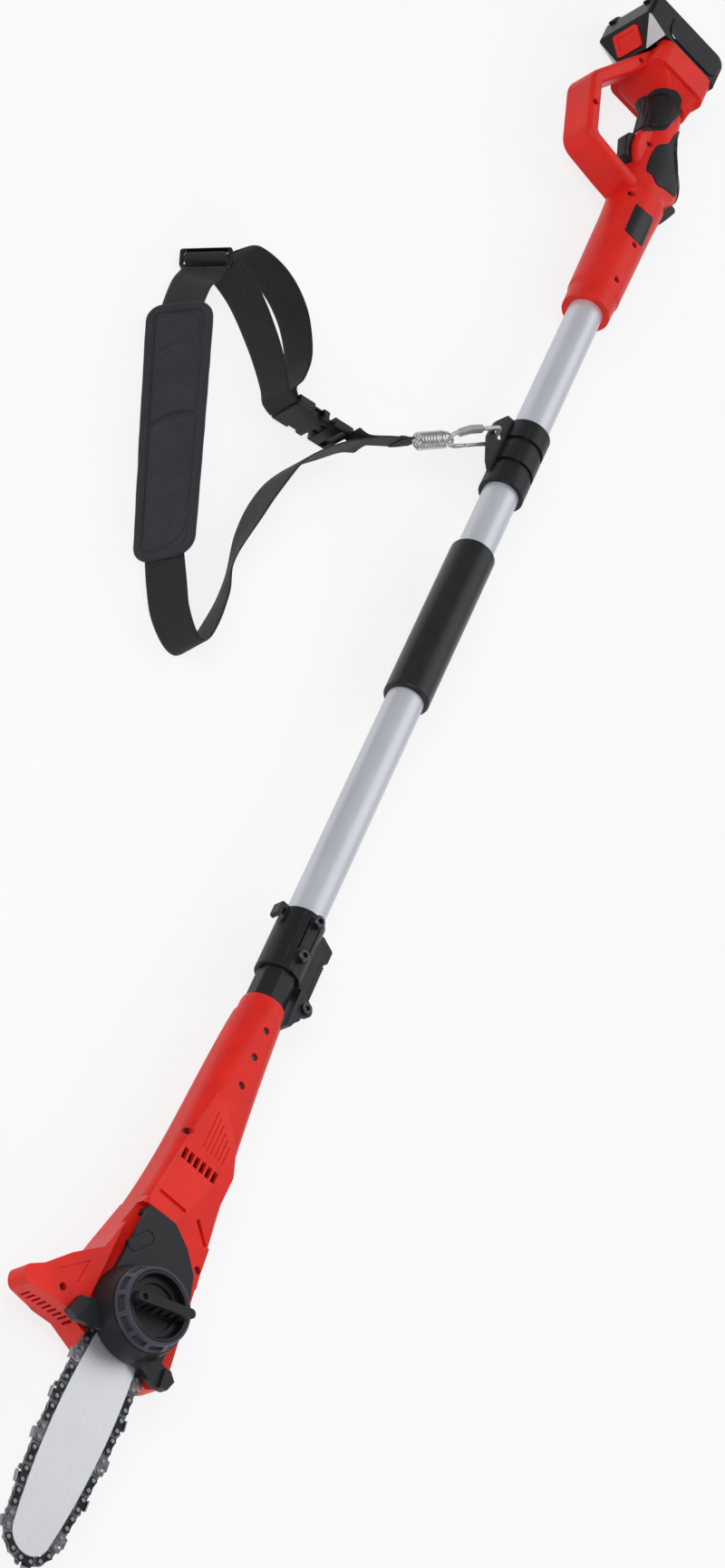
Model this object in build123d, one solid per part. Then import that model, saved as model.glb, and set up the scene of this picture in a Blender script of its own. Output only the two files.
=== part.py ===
"""Telescoping pole saw with a shoulder strap, lying on its left side.

X runs along the pole to the saw, Y is the tool's upper side and Z its right side.
The origin is on the pole's axis, midway along the bare tube, where a clip or a
hook would carry it. All sizes are in millimetres.
"""
from build123d import *
import math
import os

# Fits
FIT = 0.05            # radial clearance of a fixed or running fit
GAP = 0.3             # clearance between pieces that move past each other
FREE = 0.8            # clearance round buttons and levers

# Pole
POLE_D = 34.0
POLE_WALL = 1.5
INNER_D = 29.0
INNER_WALL = 1.5
POLE_FRONT = 180.0    # outer tube's end inside the lock collar
POLE_REAR = -770.0    # outer tube's end inside the handle
INNER_REAR = -560.0
INNER_FRONT = 330.0   # inner tube's end inside the head
BUSH_LEN = 25.0
FOAM_REAR = -310.0
FOAM_LEN = 186.0
FOAM_D = 42.5
FOAM_ROUND = 3.0

# Strap bracket on the pole
BRACKET_REAR = -468.0
BRACKET_BAND = 22.0
BRACKET_GROOVE = 7.0
BRACKET_D = 43.0
BRACKET_CORE_D = 39.0
FIN_T = 4.5
FIN_ROUND = 2.5
FIN_ROOT = 3.0        # fin's root inside the core
EYE_SET = 27.0        # eye ahead of the bracket's rear end
EYE_OUT = 7.5         # eye outside the bands
EYE_D = 10.5
EYE_RIM = 4.5

# Rear handle
HANDLE_WALL = 3.0
COLLAR_REAR_X = -642.0
COLLAR_LIP_LEN = 22.0
COLLAR_LIP_D = 48.5
COLLAR_D = 51.2
BODY_X = -800.0
BODY_D = 57.0
GRIP_END_X = -945.0
FOOT_FRONT_X = -938.0
FOOT_X = -967.0       # plane where the battery seats
FOOT_Y0 = -66.0
FOOT_Y1 = 4.0
FOOT_W = 76.0
FOOT_ROUND = 12.0
LOOP_T = 14.5
LOOP_W = 40.0
LOOP_ROUND = 5.0
LOOP_BEND = 13.0
PAD_SKIN = 1.2        # rubber pads stand this far out of the grip
SCREW_D = 5.6
SCREW_HEAD = 2.5
RECESS_D = 6.6
PILLAR_D = 11.0

# Trigger and lock-off
TRIGGER_W = 13.0
CHEEK_W = 27.0        # across the walls beside the trigger
CHEEK_ROUND = 4.0
TRIGGER_TRAVEL = 6.0
LOCKOFF_W = 16.0
LOCKOFF_TRAVEL = 3.0
SWITCH_X0 = -872.0
SWITCH_X1 = -836.0
SWITCH_Y0 = -5.0
SWITCH_Y1 = 10.0
SWITCH_W = 16.0

# Battery
BATT_W = 76.0
BATT_Y0 = -96.0
BATT_Y1 = 6.0
BATT_DEPTH = 41.0
BATT_ROUND = 13.0     # back corners, seen from the side
BATT_EDGE = 5.0       # rounding round each side
PANEL_RISE = 1.5      # raised side panels
PANEL_ROUND = 11.0
FACET = 17.0          # sloping facets beside the latch
GRIP_RIB = 2.5        # ribs at the back corner
GRIP_RIB_W = 7.0
NOSE_RISE = 15.0
TONGUE_W = 52.0
TONGUE_NECK_W = 44.0
TONGUE_H = 8.0
TONGUE_LIP = TONGUE_H - HANDLE_WALL - GAP
LATCH_W = 34.0
LATCH_L = 23.0
LATCH_T = 5.0

# Telescope lock
LOCK_REAR = 138.0
LOCK_FRONT = 201.0
LOCK_D = 41.0
BOLT_D = 11.0
BOLT_HEAD = 5.0
LEVER_W = 9.2
LEVER_X = 213.0       # pivot
LEVER_Y = 32.0
LEVER_LEN = 50.0
PIN_D = 5.0
EAR_T = 4.5
EAR_D = 15.0
LEVER_T = 4.6         # lever arm, seen along the pin
CAM_D = 11.0
FLANGE_L = 21.0
FLANGE_H = 15.0

# Head
COLLAR_X = 234.0
HEAD_X = 250.0
HEAD_D = 42.0
HEAD_WALL = 3.0
HOOK_ROUND = 8.0      # tip of the hook under the bar
HOOK_EDGE = 5.0
HOOK_ROOT = -50.0     # from here its underside slopes up to the tip
HOOK_SLOPE = 20.0
FAN_RISE = 1.4        # flat panel raised on the right side
CREASE = 0.11         # fall of the right side past the crease
HEAD_HALF = 20.0      # half thickness along Z
REST_Z = -38.0        # side on which the tool lies
FRONT_X = 600.0
FLOOR_Z = 12.5        # floor of the chain pocket
NECK_FLAT = 32.6      # across the flats of the neck sleeve
NECK_D = 34.6

# Drive
SPROCKET_X = 509.0
MODULE = 1.25
GEAR_TEETH = 36
PINION_TEETH = 15
BACKLASH = 0.2
GEAR_T = 6.4
GEAR_Z = 2.0
SPINDLE_D = 8.0
SHAFT_D = 5.0
MOTOR_D = 42.0
MOTOR_LEN = 31.0
MOTOR_Z = REST_Z + HEAD_WALL

# Bar and chain
BAR_Z = 17.0
BAR_T = 4.2
BAR_NOSE_X = 765.0
BAR_NOSE_R = 18.5
BAR_BELLY_X = 665.0
BAR_BELLY = 26.0      # half width at the belly
BAR_TAIL_X = 534.0
SLOT_X0 = 546.0
SLOT_X1 = 596.5
GROOVE_W = 1.6
GROOVE_DEPTH = 7.5
PITCH = 9.4           # wanted spacing of the rivets
RIVET_RISE = 4.2      # rivet line above the bar's rail
SPROCKET_R = 18.2     # rivet line's radius on the sprocket
LINK_T = 1.3
STRAP_T = 1.1
TANG = 5.6            # drive link below the rail
SCOOP = 1.4           # hollow under each strap, to ride over the nose
TENSION_TRAVEL = 3.0

# Cover and knob
STUD_X = 559.5
STUD_D = 8.0
STUD_HEX = 15.0       # across the corners
STUD_HEAD = 4.0
SLOT_W = STUD_D + 2 * GAP
COVER_Z0 = 20.1
COVER_Z1 = 25.0
COVER_FALL = 0.085    # fall of the cover past its crease
ARM_RISE = 4.0        # thick ends of the front arms
BOSS_D = 74.0
BOSS_TOP = 40.0
RING_D = 69.6
RING_RIM_D = 62.0
RING_BORE = 57.6
RING_TOP = 53.0
RING_NOTCHES = 12
RING_WINDOW = 4.2     # depth of the windows between the ribs
RING_FLANGE = 3.0
RING_RIB = 4.5
CUP_FLOOR = 45.0
WING_T = 8.0
WING_FOOT = 15.0      # wing's width at the floor of the cup
WING_RIBS = 5
CUP_WALL = 2.5
WING_TOP = 60.5
WING_ANGLE = 109.6

# Strap
WEB_W = 38.0
WEB_T = 1.8
PAD_L = 236.0
PAD_W = 62.0
PAD_T = 14.0
PAD_RIM = 4.0         # sewn edge
PAD_LEAN = (34.0, 19.0)
STITCH_LEAN = 24.0    # lean of the webbing where it leaves the pad
SPRING_D = 17.0
SPRING_WIRE = 2.2
SPRING_COILS = 9
SPRING_PITCH = 3.8
RING_OUT = 15.0
RING_WIRE = 2.6
CARABINER_WIRE = 4.2
CARABINER_LEAN = 25.0
CARABINER_L = 62.0
GATE_NOSE = 14.0      # gate's free end from the hook
GATE_TAIL = 25.0      # gate's pin from the far end
GATE_PIN = 1.5
GATE_TAB = 1.6        # tab of the hook inside the gate's fork
CARABINER_W = 25.0
TAIL_W = 24.0


def box(x0, x1, y0, y1, z0, z1):
    return Pos((x0 + x1) / 2, (y0 + y1) / 2, (z0 + z1) / 2) * Box(x1 - x0, y1 - y0, z1 - z0)


def rod_x(x0, x1, diameter, y=0.0, z=0.0):
    return Pos((x0 + x1) / 2, y, z) * Rot(0, 90, 0) * Cylinder(diameter / 2, x1 - x0)


def rod_z(z0, z1, diameter, x, y):
    return Pos(x, y, (z0 + z1) / 2) * Cylinder(diameter / 2, z1 - z0)


def across(x, y=0.0, z=0.0):
    """Plane square to the pole, with its own x along Y and its own y along Z."""
    return Plane(origin=(x, y, z), x_dir=(0, 1, 0), z_dir=(1, 0, 0))


def plate(points, z0, z1):
    return Pos(0, 0, z0) * extrude(make_face(Polyline(*points, close=True)), z1 - z0)


def turned(points):
    """Solid of revolution about the pole from (x, diameter) pairs."""
    outline = [(points[0][0], 0.0)] + [(x, d / 2) for x, d in points] + [(points[-1][0], 0.0)]
    return revolve(make_face(Polyline(*outline, close=True)), Axis.X, 360)


def tube_x(x0, x1, outer, bore):
    return rod_x(x0, x1, outer) - rod_x(x0, x1, bore)


def save(shape, name):
    export_step(shape, "parts/" + name + ".step")


BIG = 2000.0
RIGHT_HALF = box(-BIG, BIG, -BIG, BIG, 0, BIG)
LEFT_HALF = box(-BIG, BIG, -BIG, BIG, -BIG, 0)


# Pole, inner tube and sleeve
pole_bore = POLE_D - 2 * POLE_WALL


def outer_tube():
    return tube_x(POLE_REAR, POLE_FRONT, POLE_D, pole_bore)


def inner_tube():
    return tube_x(INNER_REAR, INNER_FRONT, INNER_D, INNER_D - 2 * INNER_WALL)


def guide_bush():
    return tube_x(INNER_REAR, INNER_REAR + BUSH_LEN, pole_bore - 2 * FIT, INNER_D + 2 * FIT)


def foam_sleeve():
    sleeve = tube_x(FOAM_REAR, FOAM_REAR + FOAM_LEN, FOAM_D, POLE_D + 2 * FIT)
    rims = sleeve.edges().filter_by(GeomType.CIRCLE)
    outer = rims.filter_by(lambda e: e.radius > (FOAM_D - FOAM_ROUND) / 2)
    return fillet(outer, FOAM_ROUND)


bracket_step = BRACKET_BAND + BRACKET_GROOVE
bracket_front = BRACKET_REAR + 2 * bracket_step + BRACKET_BAND
eye_x = BRACKET_REAR + EYE_SET
eye_y = -BRACKET_D / 2 - EYE_OUT


def strap_bracket():
    body = rod_x(BRACKET_REAR, bracket_front, BRACKET_CORE_D)
    for band in range(3):
        start = BRACKET_REAR + band * bracket_step
        body += rod_x(start, start + BRACKET_BAND, BRACKET_D)
    base = -BRACKET_CORE_D / 2 + FIN_ROOT
    shoulder = EYE_D / 2 + EYE_RIM
    edge = eye_y - shoulder
    fin = plate([
        (BRACKET_REAR, base),
        (BRACKET_REAR + 1, edge + shoulder),
        (eye_x - shoulder - 1, edge + 1.5),
        (eye_x, edge),
        (eye_x + shoulder, edge),
        (bracket_front - BRACKET_BAND + 2, edge + shoulder),
        (bracket_front - 4, base),
    ], -FIN_T / 2, FIN_T / 2)
    fin = fillet(fin.edges().filter_by(Axis.Z), FIN_ROUND)
    body += fin
    body -= rod_x(BRACKET_REAR - 1, bracket_front + 1, POLE_D + 2 * FIT)
    body -= rod_z(-FIN_T, FIN_T, EYE_D, eye_x, eye_y)
    return body


# Rear handle: sections of the body and grip, from the collar to the foot
GRIP_SECTIONS = [
    # x, centre y, half height, half width
    (BODY_X, 0.0, BODY_D / 2, BODY_D / 2),
    (BODY_X - 24, 1.5, 30.0, 27.0),
    (BODY_X - 46, 3.0, 31.0, 24.5),
    (BODY_X - 66, -3.0, 25.5, 21.5),
    (BODY_X - 86, -9.0, 20.8, 20.0),
    (BODY_X - 115, -14.2, 20.4, 19.7),
    (GRIP_END_X, -18.7, 20.5, 19.5),
]
LOOP_PATH = [
    (BODY_X - 2, -10),
    (BODY_X - 4.5, -42),
    (BODY_X - 10, -85),
    (BODY_X - 72, -106),
    (FOOT_X + 12, -60),
]
HANDLE_SCREWS = [
    # x, y, depth of the seat along Z
    (-678.0, 2.1, 20.0),
    (-730.0, 3.4, 21.0),
    (-786.0, -19.0, 14.0),
    (-862.0, -22.0, 10.0),
    (-842.0, -97.0, 14.0),
    (-934.0, -72.0, 14.0),
]


def grip_body(inset):
    sections = []
    for x, y, high, wide in GRIP_SECTIONS:
        sections.append(across(x, y) * Ellipse(high - inset, wide - inset))
    return loft(sections)


def handle_barrel(inset):
    lip_end = COLLAR_REAR_X - COLLAR_LIP_LEN
    return turned([
        (BODY_X, BODY_D - 2 * inset),
        (BODY_X + 30, COLLAR_D + 3 - 2 * inset),
        (lip_end - 2, COLLAR_D - 2 * inset),
        (lip_end, COLLAR_LIP_D - 2 * inset),
        (COLLAR_REAR_X, COLLAR_LIP_D - 1 - 2 * inset),
    ])


def handle_foot(inset):
    middle = (FOOT_Y0 + FOOT_Y1) / 2
    high = FOOT_Y1 - FOOT_Y0 - 2 * inset
    wide = FOOT_W - 2 * inset
    rounding = FOOT_ROUND - inset
    slab = extrude(across(FOOT_X + inset, middle) * RectangleRounded(high, wide, rounding),
                   FOOT_FRONT_X - FOOT_X - 2 * inset)
    tip = GRIP_SECTIONS[-1]
    flare = loft([
        across(FOOT_FRONT_X - inset - 1, middle) * RectangleRounded(high - 6, wide - 8, rounding - 1),
        across(FOOT_FRONT_X + 11, tip[1] + 2) * RectangleRounded(
            2 * tip[2] + 2 - 2 * inset, 2 * tip[3] + 2 - 2 * inset, tip[3] - 4 - inset),
    ], ruled=True)
    return slab + flare


def handle_loop(inset):
    path = FilletPolyline(*LOOP_PATH, radius=LOOP_BEND)
    section = Plane(origin=path @ 0, x_dir=(0, 0, 1), z_dir=path % 0)
    return sweep(section * RectangleRounded(LOOP_W - 2 * inset, LOOP_T - 2 * inset, LOOP_ROUND - 0.8 * inset),
                 path=path)


def trigger_solid(grow):
    face = make_face(Polyline(
        (-874, -16),
        (-871, -33),
        (-863, -43),
        (-857, -45),
        (-846, -41),
        (-836, -37.5),
        (-833, -16),
        close=True))
    half = TRIGGER_W / 2 + grow
    if grow:
        face = offset(face, grow)
    return Pos(0, 0, -half) * extrude(face, 2 * half)


def trigger_cheeks():
    """Walls of the grip that reach down on both sides of the trigger."""
    walls = plate([
        (-888, -16),
        (-882, -31),
        (-866, -37),
        (-850, -35.5),
        (-838, -30),
        (-826, -16),
    ], -CHEEK_W / 2, CHEEK_W / 2)
    rims = walls.edges().group_by(Axis.Z)
    return fillet(rims[0] + rims[-1], CHEEK_ROUND)


def lock_off_solid(grow):
    outline = [
        (-831, 22),
        (-831, 37),
        (-827, 39.5),
        (-812, 34.5),
        (-800, 30),
        (-800, 22),
    ]
    face = make_face(Polyline(*outline, close=True))
    half = LOCKOFF_W / 2 + grow
    if grow:
        face = offset(face, grow)
    return Pos(0, 0, -half) * extrude(face, 2 * half)


def handle_solid():
    outer = handle_barrel(0) + grip_body(0) + handle_foot(0) + trigger_cheeks()
    loop = handle_loop(0)
    inside = grip_body(HANDLE_WALL) + handle_foot(HANDLE_WALL)
    barrel_room = handle_barrel(HANDLE_WALL) - box(COLLAR_REAR_X - 30, BIG, -BIG, BIG, -BIG, BIG)
    ribs = box(-716, -712, -BIG, BIG, -BIG, BIG) + box(POLE_REAR - 6, POLE_REAR + 8, -BIG, BIG, -BIG, BIG)
    inside += barrel_room - ribs
    shell = outer + loop - inside
    shell -= handle_loop(HANDLE_WALL) - outer
    whole = outer + loop
    for x, y, seat in HANDLE_SCREWS:
        shell += rod_z(-BIG, BIG, PILLAR_D, x, y) & whole
    for rib_x in (SWITCH_X0 + 4, SWITCH_X1 - 8):
        rib = box(rib_x, rib_x + 4, SWITCH_Y0, SWITCH_Y1, -BIG, BIG)
        rib -= box(-BIG, BIG, -BIG, BIG, -SWITCH_W / 2, SWITCH_W / 2)
        shell += rib & outer
    for x, y, seat in HANDLE_SCREWS:
        shell -= rod_z(seat, seat + 40, RECESS_D, x, y)
    shell -= rod_x(POLE_REAR, COLLAR_REAR_X + 1, POLE_D + 2 * FIT)
    shell -= rod_x(POLE_REAR - 8, POLE_REAR + 1, pole_bore - 4)
    # Trigger window, lock-off window, battery channel
    shell -= trigger_solid(FREE) + Pos(0, TRIGGER_TRAVEL + 1, 0) * trigger_solid(FREE)
    shell -= lock_off_solid(FREE) + Pos(0, -LOCKOFF_TRAVEL - 1, 0) * lock_off_solid(FREE)
    shell -= battery_tongue(GAP, FOOT_Y0 - 30, tongue_rear + GAP)
    return shell


tongue_front = FOOT_Y0 + 14      # end of the tongue towards the loop
tongue_rear = FOOT_Y1 - 8


def battery_tongue(grow, y0, y1):
    top = FOOT_X + TONGUE_H
    half = TONGUE_W / 2 + grow
    neck = TONGUE_NECK_W / 2 + grow
    lip = box(top - TONGUE_LIP - grow, top + grow, y0, y1, -half, half)
    return lip + box(FOOT_X - 1, top - TONGUE_LIP, y0, y1, -neck, neck)


def grip_skin():
    return grip_body(-PAD_SKIN) - grip_body(-FIT / 2)


def grip_pad_rear():
    region = plate([
        (-948, -60),
        (-948, -6),
        (-930, -5),
        (-896, -14),
        (-886, -24),
        (-886, -60),
    ], -BIG, BIG)
    pad = grip_skin() & region
    return pad - handle_foot(0)


def grip_pad_back():
    region = plate([
        (-916, 60),
        (-912, 4),
        (-898, -1),
        (-878, 2),
        (-866, 9),
        (-846, 16),
        (-838, 26),
        (-838, 60),
    ], -BIG, BIG)
    return grip_skin() & region


def screws(places):
    group = []
    for x, y, seat in places:
        group.append(rod_z(seat, seat + SCREW_HEAD, SCREW_D, x, y))
    return Compound(children=group)


def switch_module():
    half = SWITCH_W / 2
    case = box(SWITCH_X0, SWITCH_X1, SWITCH_Y0, SWITCH_Y1, -half, half)
    plunger_y = -16 + TRIGGER_TRAVEL + GAP
    return case + box(SWITCH_X0 + 6, SWITCH_X0 + 14, plunger_y, SWITCH_Y0, -4, 4)


# Battery
nose_y1 = FOOT_Y0 - 6.5
nose_x1 = FOOT_X + NOSE_RISE
nose_x0 = nose_x1 + BATT_Y0 - nose_y1     # foot of the sloping front face
batt_back = FOOT_X - BATT_DEPTH


def battery_face():
    """Outline of the case from the side."""
    face = make_face(Polyline(
        (FOOT_X - GAP, BATT_Y1),
        (FOOT_X - GAP, nose_y1 + 4),
        (nose_x1, nose_y1),
        (nose_x0, BATT_Y0),
        (batt_back, BATT_Y0),
        (batt_back, BATT_Y1),
        close=True))
    corners = face.vertices().filter_by(lambda v: v.X < batt_back + GAP)
    return fillet(corners, BATT_ROUND)


def battery_body():
    half = BATT_W / 2 - PANEL_RISE
    face = battery_face()
    body = Pos(0, 0, -half) * extrude(face, 2 * half)
    for side in (-1, 1):
        rim = body.faces().sort_by(Axis.Z)[-1 if side > 0 else 0].edges()
        rear = rim.filter_by(lambda e: e.center().X < (batt_back + FOOT_X) / 2)
        body = fillet(rear, BATT_EDGE)
    # ribs for the fingers at the back corner
    ribs = extrude(offset(face, GRIP_RIB), GRIP_RIB_W)
    ribs &= box(-BIG, batt_back + BATT_ROUND, -BIG, BATT_Y0 + BATT_ROUND + GRIP_RIB_W, -BIG, BIG)
    for side in (-1, 1):
        body += Pos(0, 0, side * (half - BATT_EDGE - GRIP_RIB_W) - GRIP_RIB_W / 2) * ribs
    return body


def latch_frame():
    """Plane on the sloping front face, its z out of the case."""
    middle = ((nose_x1 + nose_x0) / 2, (nose_y1 + BATT_Y0) / 2, 0)
    return Plane(origin=middle, x_dir=(0, 0, 1), z_dir=(1, -1, 0))


def battery_case():
    case = battery_body()
    half = BATT_W / 2 - PANEL_RISE
    # facets run from the latch's face to both sides
    for side in (-1, 1):
        ridge = Vector(nose_x1, nose_y1, side * (half - FACET))
        far = Vector(nose_x0, BATT_Y0, side * half)
        foot = Vector(FOOT_X - GAP, nose_y1 + 4, side * half)
        normal = (far - ridge).cross(foot - ridge).normalized()
        if normal.Z * side < 0:
            normal = normal * -1
        cut = Plane(origin=ridge, z_dir=normal)
        case -= cut.location * Pos(0, 0, BATT_W) * Box(2 * BATT_W, 2 * BATT_W, 2 * BATT_W)
    # raised side panels
    panel_x = (batt_back + FOOT_X) / 2
    panel_y = (nose_y1 + BATT_Y1) / 2
    for side in (-1, 1):
        outline = RectangleRounded(BATT_DEPTH - 2 * BATT_EDGE, BATT_Y1 - nose_y1 - 2 * BATT_EDGE, PANEL_ROUND)
        panel = extrude(outline, PANEL_RISE + 1)
        panel = chamfer(panel.edges().group_by(Axis.Z)[-1], PANEL_RISE / 2)
        if side < 0:
            panel = Rot(180, 0, 0) * panel
        case += Pos(panel_x, panel_y, side * (half - 1)) * panel
    case += battery_tongue(0, tongue_front, tongue_rear)
    # latch pocket and terminal slots
    pocket = RectangleRounded(LATCH_W + 2 * FREE, LATCH_L + 2 * FREE, 4)
    case -= extrude(latch_frame() * pocket, -LATCH_T - 3)
    for blade in (-1, 0, 1):
        z = blade * 14
        case -= box(FOOT_X + 1, FOOT_X + TONGUE_H + 1, tongue_rear - 16, tongue_rear + 1, z - 1.4, z + 1.4)
    return case


def battery_latch():
    frame = latch_frame()
    seat = frame.offset(-LATCH_T)
    button = extrude(seat * RectangleRounded(LATCH_W, LATCH_L, 3.5), LATCH_T + 1.5)
    dish = extrude(frame.offset(0.6) * RectangleRounded(LATCH_W - 9, LATCH_L - 9, 2.5), 2)
    return button - dish


def terminals():
    base = box(FOOT_X + TONGUE_H + GAP, FOOT_FRONT_X - HANDLE_WALL, tongue_rear - 8, tongue_rear + 1, -20, 20)
    for blade in (-1, 0, 1):
        z = blade * 14
        base += box(FOOT_X + 2, FOOT_X + TONGUE_H + 1, tongue_rear - 12, tongue_rear - 1, z - 0.5, z + 0.5)
    return base


# Telescope lock
lock_r = LOCK_D / 2
lug_y = lock_r + 0.5
lever_low = LEVER_Y - LEVER_T / 2
BOLT_XS = (LOCK_REAR + 8, LOCK_FRONT - 17)
BOLT_Y = 1.5
bolt_seat = lock_r + 1.0


def lock_collar():
    collar = rod_x(LOCK_REAR, LOCK_FRONT, LOCK_D)
    rim = collar.edges().filter_by(GeomType.CIRCLE)
    collar = chamfer(rim, 1.0)
    # hook for the cord loop on the lower side
    tab = box(LOCK_REAR + 1, LOCK_REAR + 15, -lock_r - 8, -lock_r + 4, -5, 5)
    tab -= box(LOCK_REAR + 5, LOCK_REAR + 16, -lock_r - 4, -lock_r, -6, 6)
    tab = fillet(tab.edges().filter_by(Axis.Z).group_by(Axis.Y)[0], 2.5)
    flange_x = LOCK_REAR + 1 + FLANGE_L
    flange = plate([
        (LOCK_REAR + 1, 0),
        (LOCK_REAR + 1, lug_y + 2),
        (LOCK_REAR + 7, lug_y + FLANGE_H),
        (flange_x, lug_y + FLANGE_H),
        (flange_x, 0),
    ], -LEVER_W / 2, LEVER_W / 2)
    flange = fillet(flange.edges().filter_by(Axis.Z).group_by(Axis.Y)[-1], 3)
    # web under the lever, then the ears round its pin
    web = plate([
        (flange_x - 1, 0),
        (flange_x - 1, lever_low - GAP),
        (LOCK_FRONT, lever_low - GAP),
        (LOCK_FRONT, 0),
    ], -LEVER_W / 2, LEVER_W / 2)
    ear_z = LEVER_W / 2 + GAP
    ears = plate([
        (LEVER_X - EAR_D / 2 - 5, 0),
        (LEVER_X - EAR_D / 2 - 5, lug_y + 5),
        (LEVER_X - 5, LEVER_Y + 5.5),
        (LEVER_X, LEVER_Y),
        (LEVER_X + EAR_D / 2, LEVER_Y),
        (LEVER_X + 24, lug_y + 5),
        (LEVER_X + 26, lug_y + 1),
        (LOCK_FRONT, lug_y),
        (LOCK_FRONT, 0),
    ], -ear_z - EAR_T, ear_z + EAR_T)
    ears += rod_z(-ear_z - EAR_T, ear_z + EAR_T, EAR_D, LEVER_X, LEVER_Y)
    ears -= plate([
        (LEVER_X - EAR_D / 2 - 6, lug_y + 1.5),
        (LEVER_X + 8.5, lug_y + 1.5),
        (LEVER_X + 8.5, LEVER_Y + 20),
        (LEVER_X - EAR_D / 2 - 6, LEVER_Y + 20),
    ], -ear_z, ear_z)
    collar += tab + flange + web + ears
    collar -= rod_x(LOCK_REAR - 1, POLE_FRONT, POLE_D + 2 * FIT)
    collar -= rod_x(POLE_FRONT - 1, LOCK_FRONT + 1, INNER_D + 2 * FIT)
    collar -= rod_z(-20, 20, PIN_D + 2 * FIT, LEVER_X, LEVER_Y)
    for groove_y in (-11.0, -4.0, 8.0):
        collar -= box(LOCK_REAR + 8, LOCK_FRONT - 22, groove_y - 0.8, groove_y + 0.8, lock_r - 3.2, lock_r + 2)
    for bolt_x in BOLT_XS:
        collar += rod_z(POLE_D / 2 + 2, bolt_seat, BOLT_D + 2, bolt_x, BOLT_Y)
        collar -= rod_z(POLE_D / 2, bolt_seat + 1, BOLT_D / 2 + 2 * FIT, bolt_x, BOLT_Y)
    return collar


def lock_bolts():
    group = []
    for bolt_x in BOLT_XS:
        shank = rod_z(POLE_D / 2 + FIT, bolt_seat, BOLT_D / 2, bolt_x, BOLT_Y)
        head = rod_z(bolt_seat, bolt_seat + BOLT_HEAD, BOLT_D, bolt_x, BOLT_Y)
        head = chamfer(head.edges().group_by(Axis.Z)[-1], 1.0)
        socket = Pos(bolt_x, BOLT_Y, bolt_seat + BOLT_HEAD - 3) * extrude(RegularPolygon(BOLT_D / 4, 6), 4)
        group.append((shank + head - socket).solid())
    return Compound(children=group)


def lock_lever():
    half = LEVER_W / 2
    tip = LEVER_X - LEVER_LEN
    arm = plate([
        (LEVER_X, lever_low),
        (tip + 3, lever_low),
        (tip, lever_low + 1.5),
        (tip, lever_low + LEVER_T - 1),
        (tip + 24, lever_low + LEVER_T),
        (LEVER_X, lever_low + LEVER_T),
    ], -half, half)
    arm += rod_z(-half, half, CAM_D, LEVER_X, LEVER_Y)
    for rib in range(8):
        arm += rod_z(-half, half, 1.6, tip + 2 + 2.6 * rib, lever_low + LEVER_T - 0.6)
    arm -= rod_z(-half - 1, half + 1, PIN_D + 2 * FIT, LEVER_X, LEVER_Y)
    return arm


def lever_pin():
    ear = LEVER_W / 2 + GAP + EAR_T
    pin = rod_z(-ear, ear, PIN_D, LEVER_X, LEVER_Y)
    pin += rod_z(ear, ear + 3, 2 * PIN_D, LEVER_X, LEVER_Y)
    return pin - Pos(LEVER_X, LEVER_Y, ear + 1) * extrude(RegularPolygon(PIN_D / 2, 6), 3)


# Head
HEAD_SCREWS = [
    # x, y, depth of the seat along Z
    (266.0, 1.2, 16.5),
    (294.0, 1.4, 16.5),
    (324.0, 1.7, 16.0),
    (390.0, -23.0, 11.0),
    (487.0, 37.0, 12.0),
    (581.0, -66.0, 13.0),
]
BULGE_D = 50.0


def neck_sleeve():
    x0 = LOCK_FRONT + GAP
    x1 = HEAD_X + 14
    body = rod_x(x0, x1, NECK_D) & (Pos((x0 + x1) / 2, 0, 0) * Rot(45, 0, 0) * Box(x1 - x0, NECK_FLAT, NECK_FLAT))
    body &= Pos((x0 + x1) / 2, 0, 0) * Box(x1 - x0, NECK_FLAT, NECK_FLAT)
    return body - rod_x(x0 - 1, x1 + 1, INNER_D + 2 * FIT)


def head_taper(inset):
    rows = [
        # x, y low, y high, half thickness, corner
        (HEAD_X, -HEAD_D / 2, HEAD_D / 2, HEAD_D / 2, HEAD_D / 2 - 0.6),
        (HEAD_X + 95, -25.0, 27.0, HEAD_HALF + 0.5, 15.0),
        (HEAD_X + 180, -29.5, 35.5, HEAD_HALF, 11.0),
        (HEAD_X + 250, -41.0, 45.0, HEAD_HALF, 9.0),
    ]
    sections = []
    for x, low, high, thick, corner in rows:
        sections.append(across(x, (low + high) / 2) * RectangleRounded(
            high - low - 2 * inset, 2 * thick - 2 * inset, corner - inset))
    return loft(sections)


FRONT_OUTLINE = [
    (HEAD_X + 215, -33.5),
    (506, -43),
    (528, -48),
    (551, -71),
    (573, -87),
    (587, -104),
    (599, -99),
    (594, -70),
    (592, -44),
    (FRONT_X, -18),
    (FRONT_X, 42),
    (590, 55),
    (570, 54),
    (540, 49),
    (503, 43),
    (HEAD_X + 215, 38.5),
]
# seam between the cover and the housing, from the rear round to the upper side
COVER_OUTLINE = [
    (474, -30),
    (472, -2),
    (482, 18),
    (497, 34),
    (515, 40),
    (585, 40),
    (590, 36),
    (590, -36),
    (577, -36),
]


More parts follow.
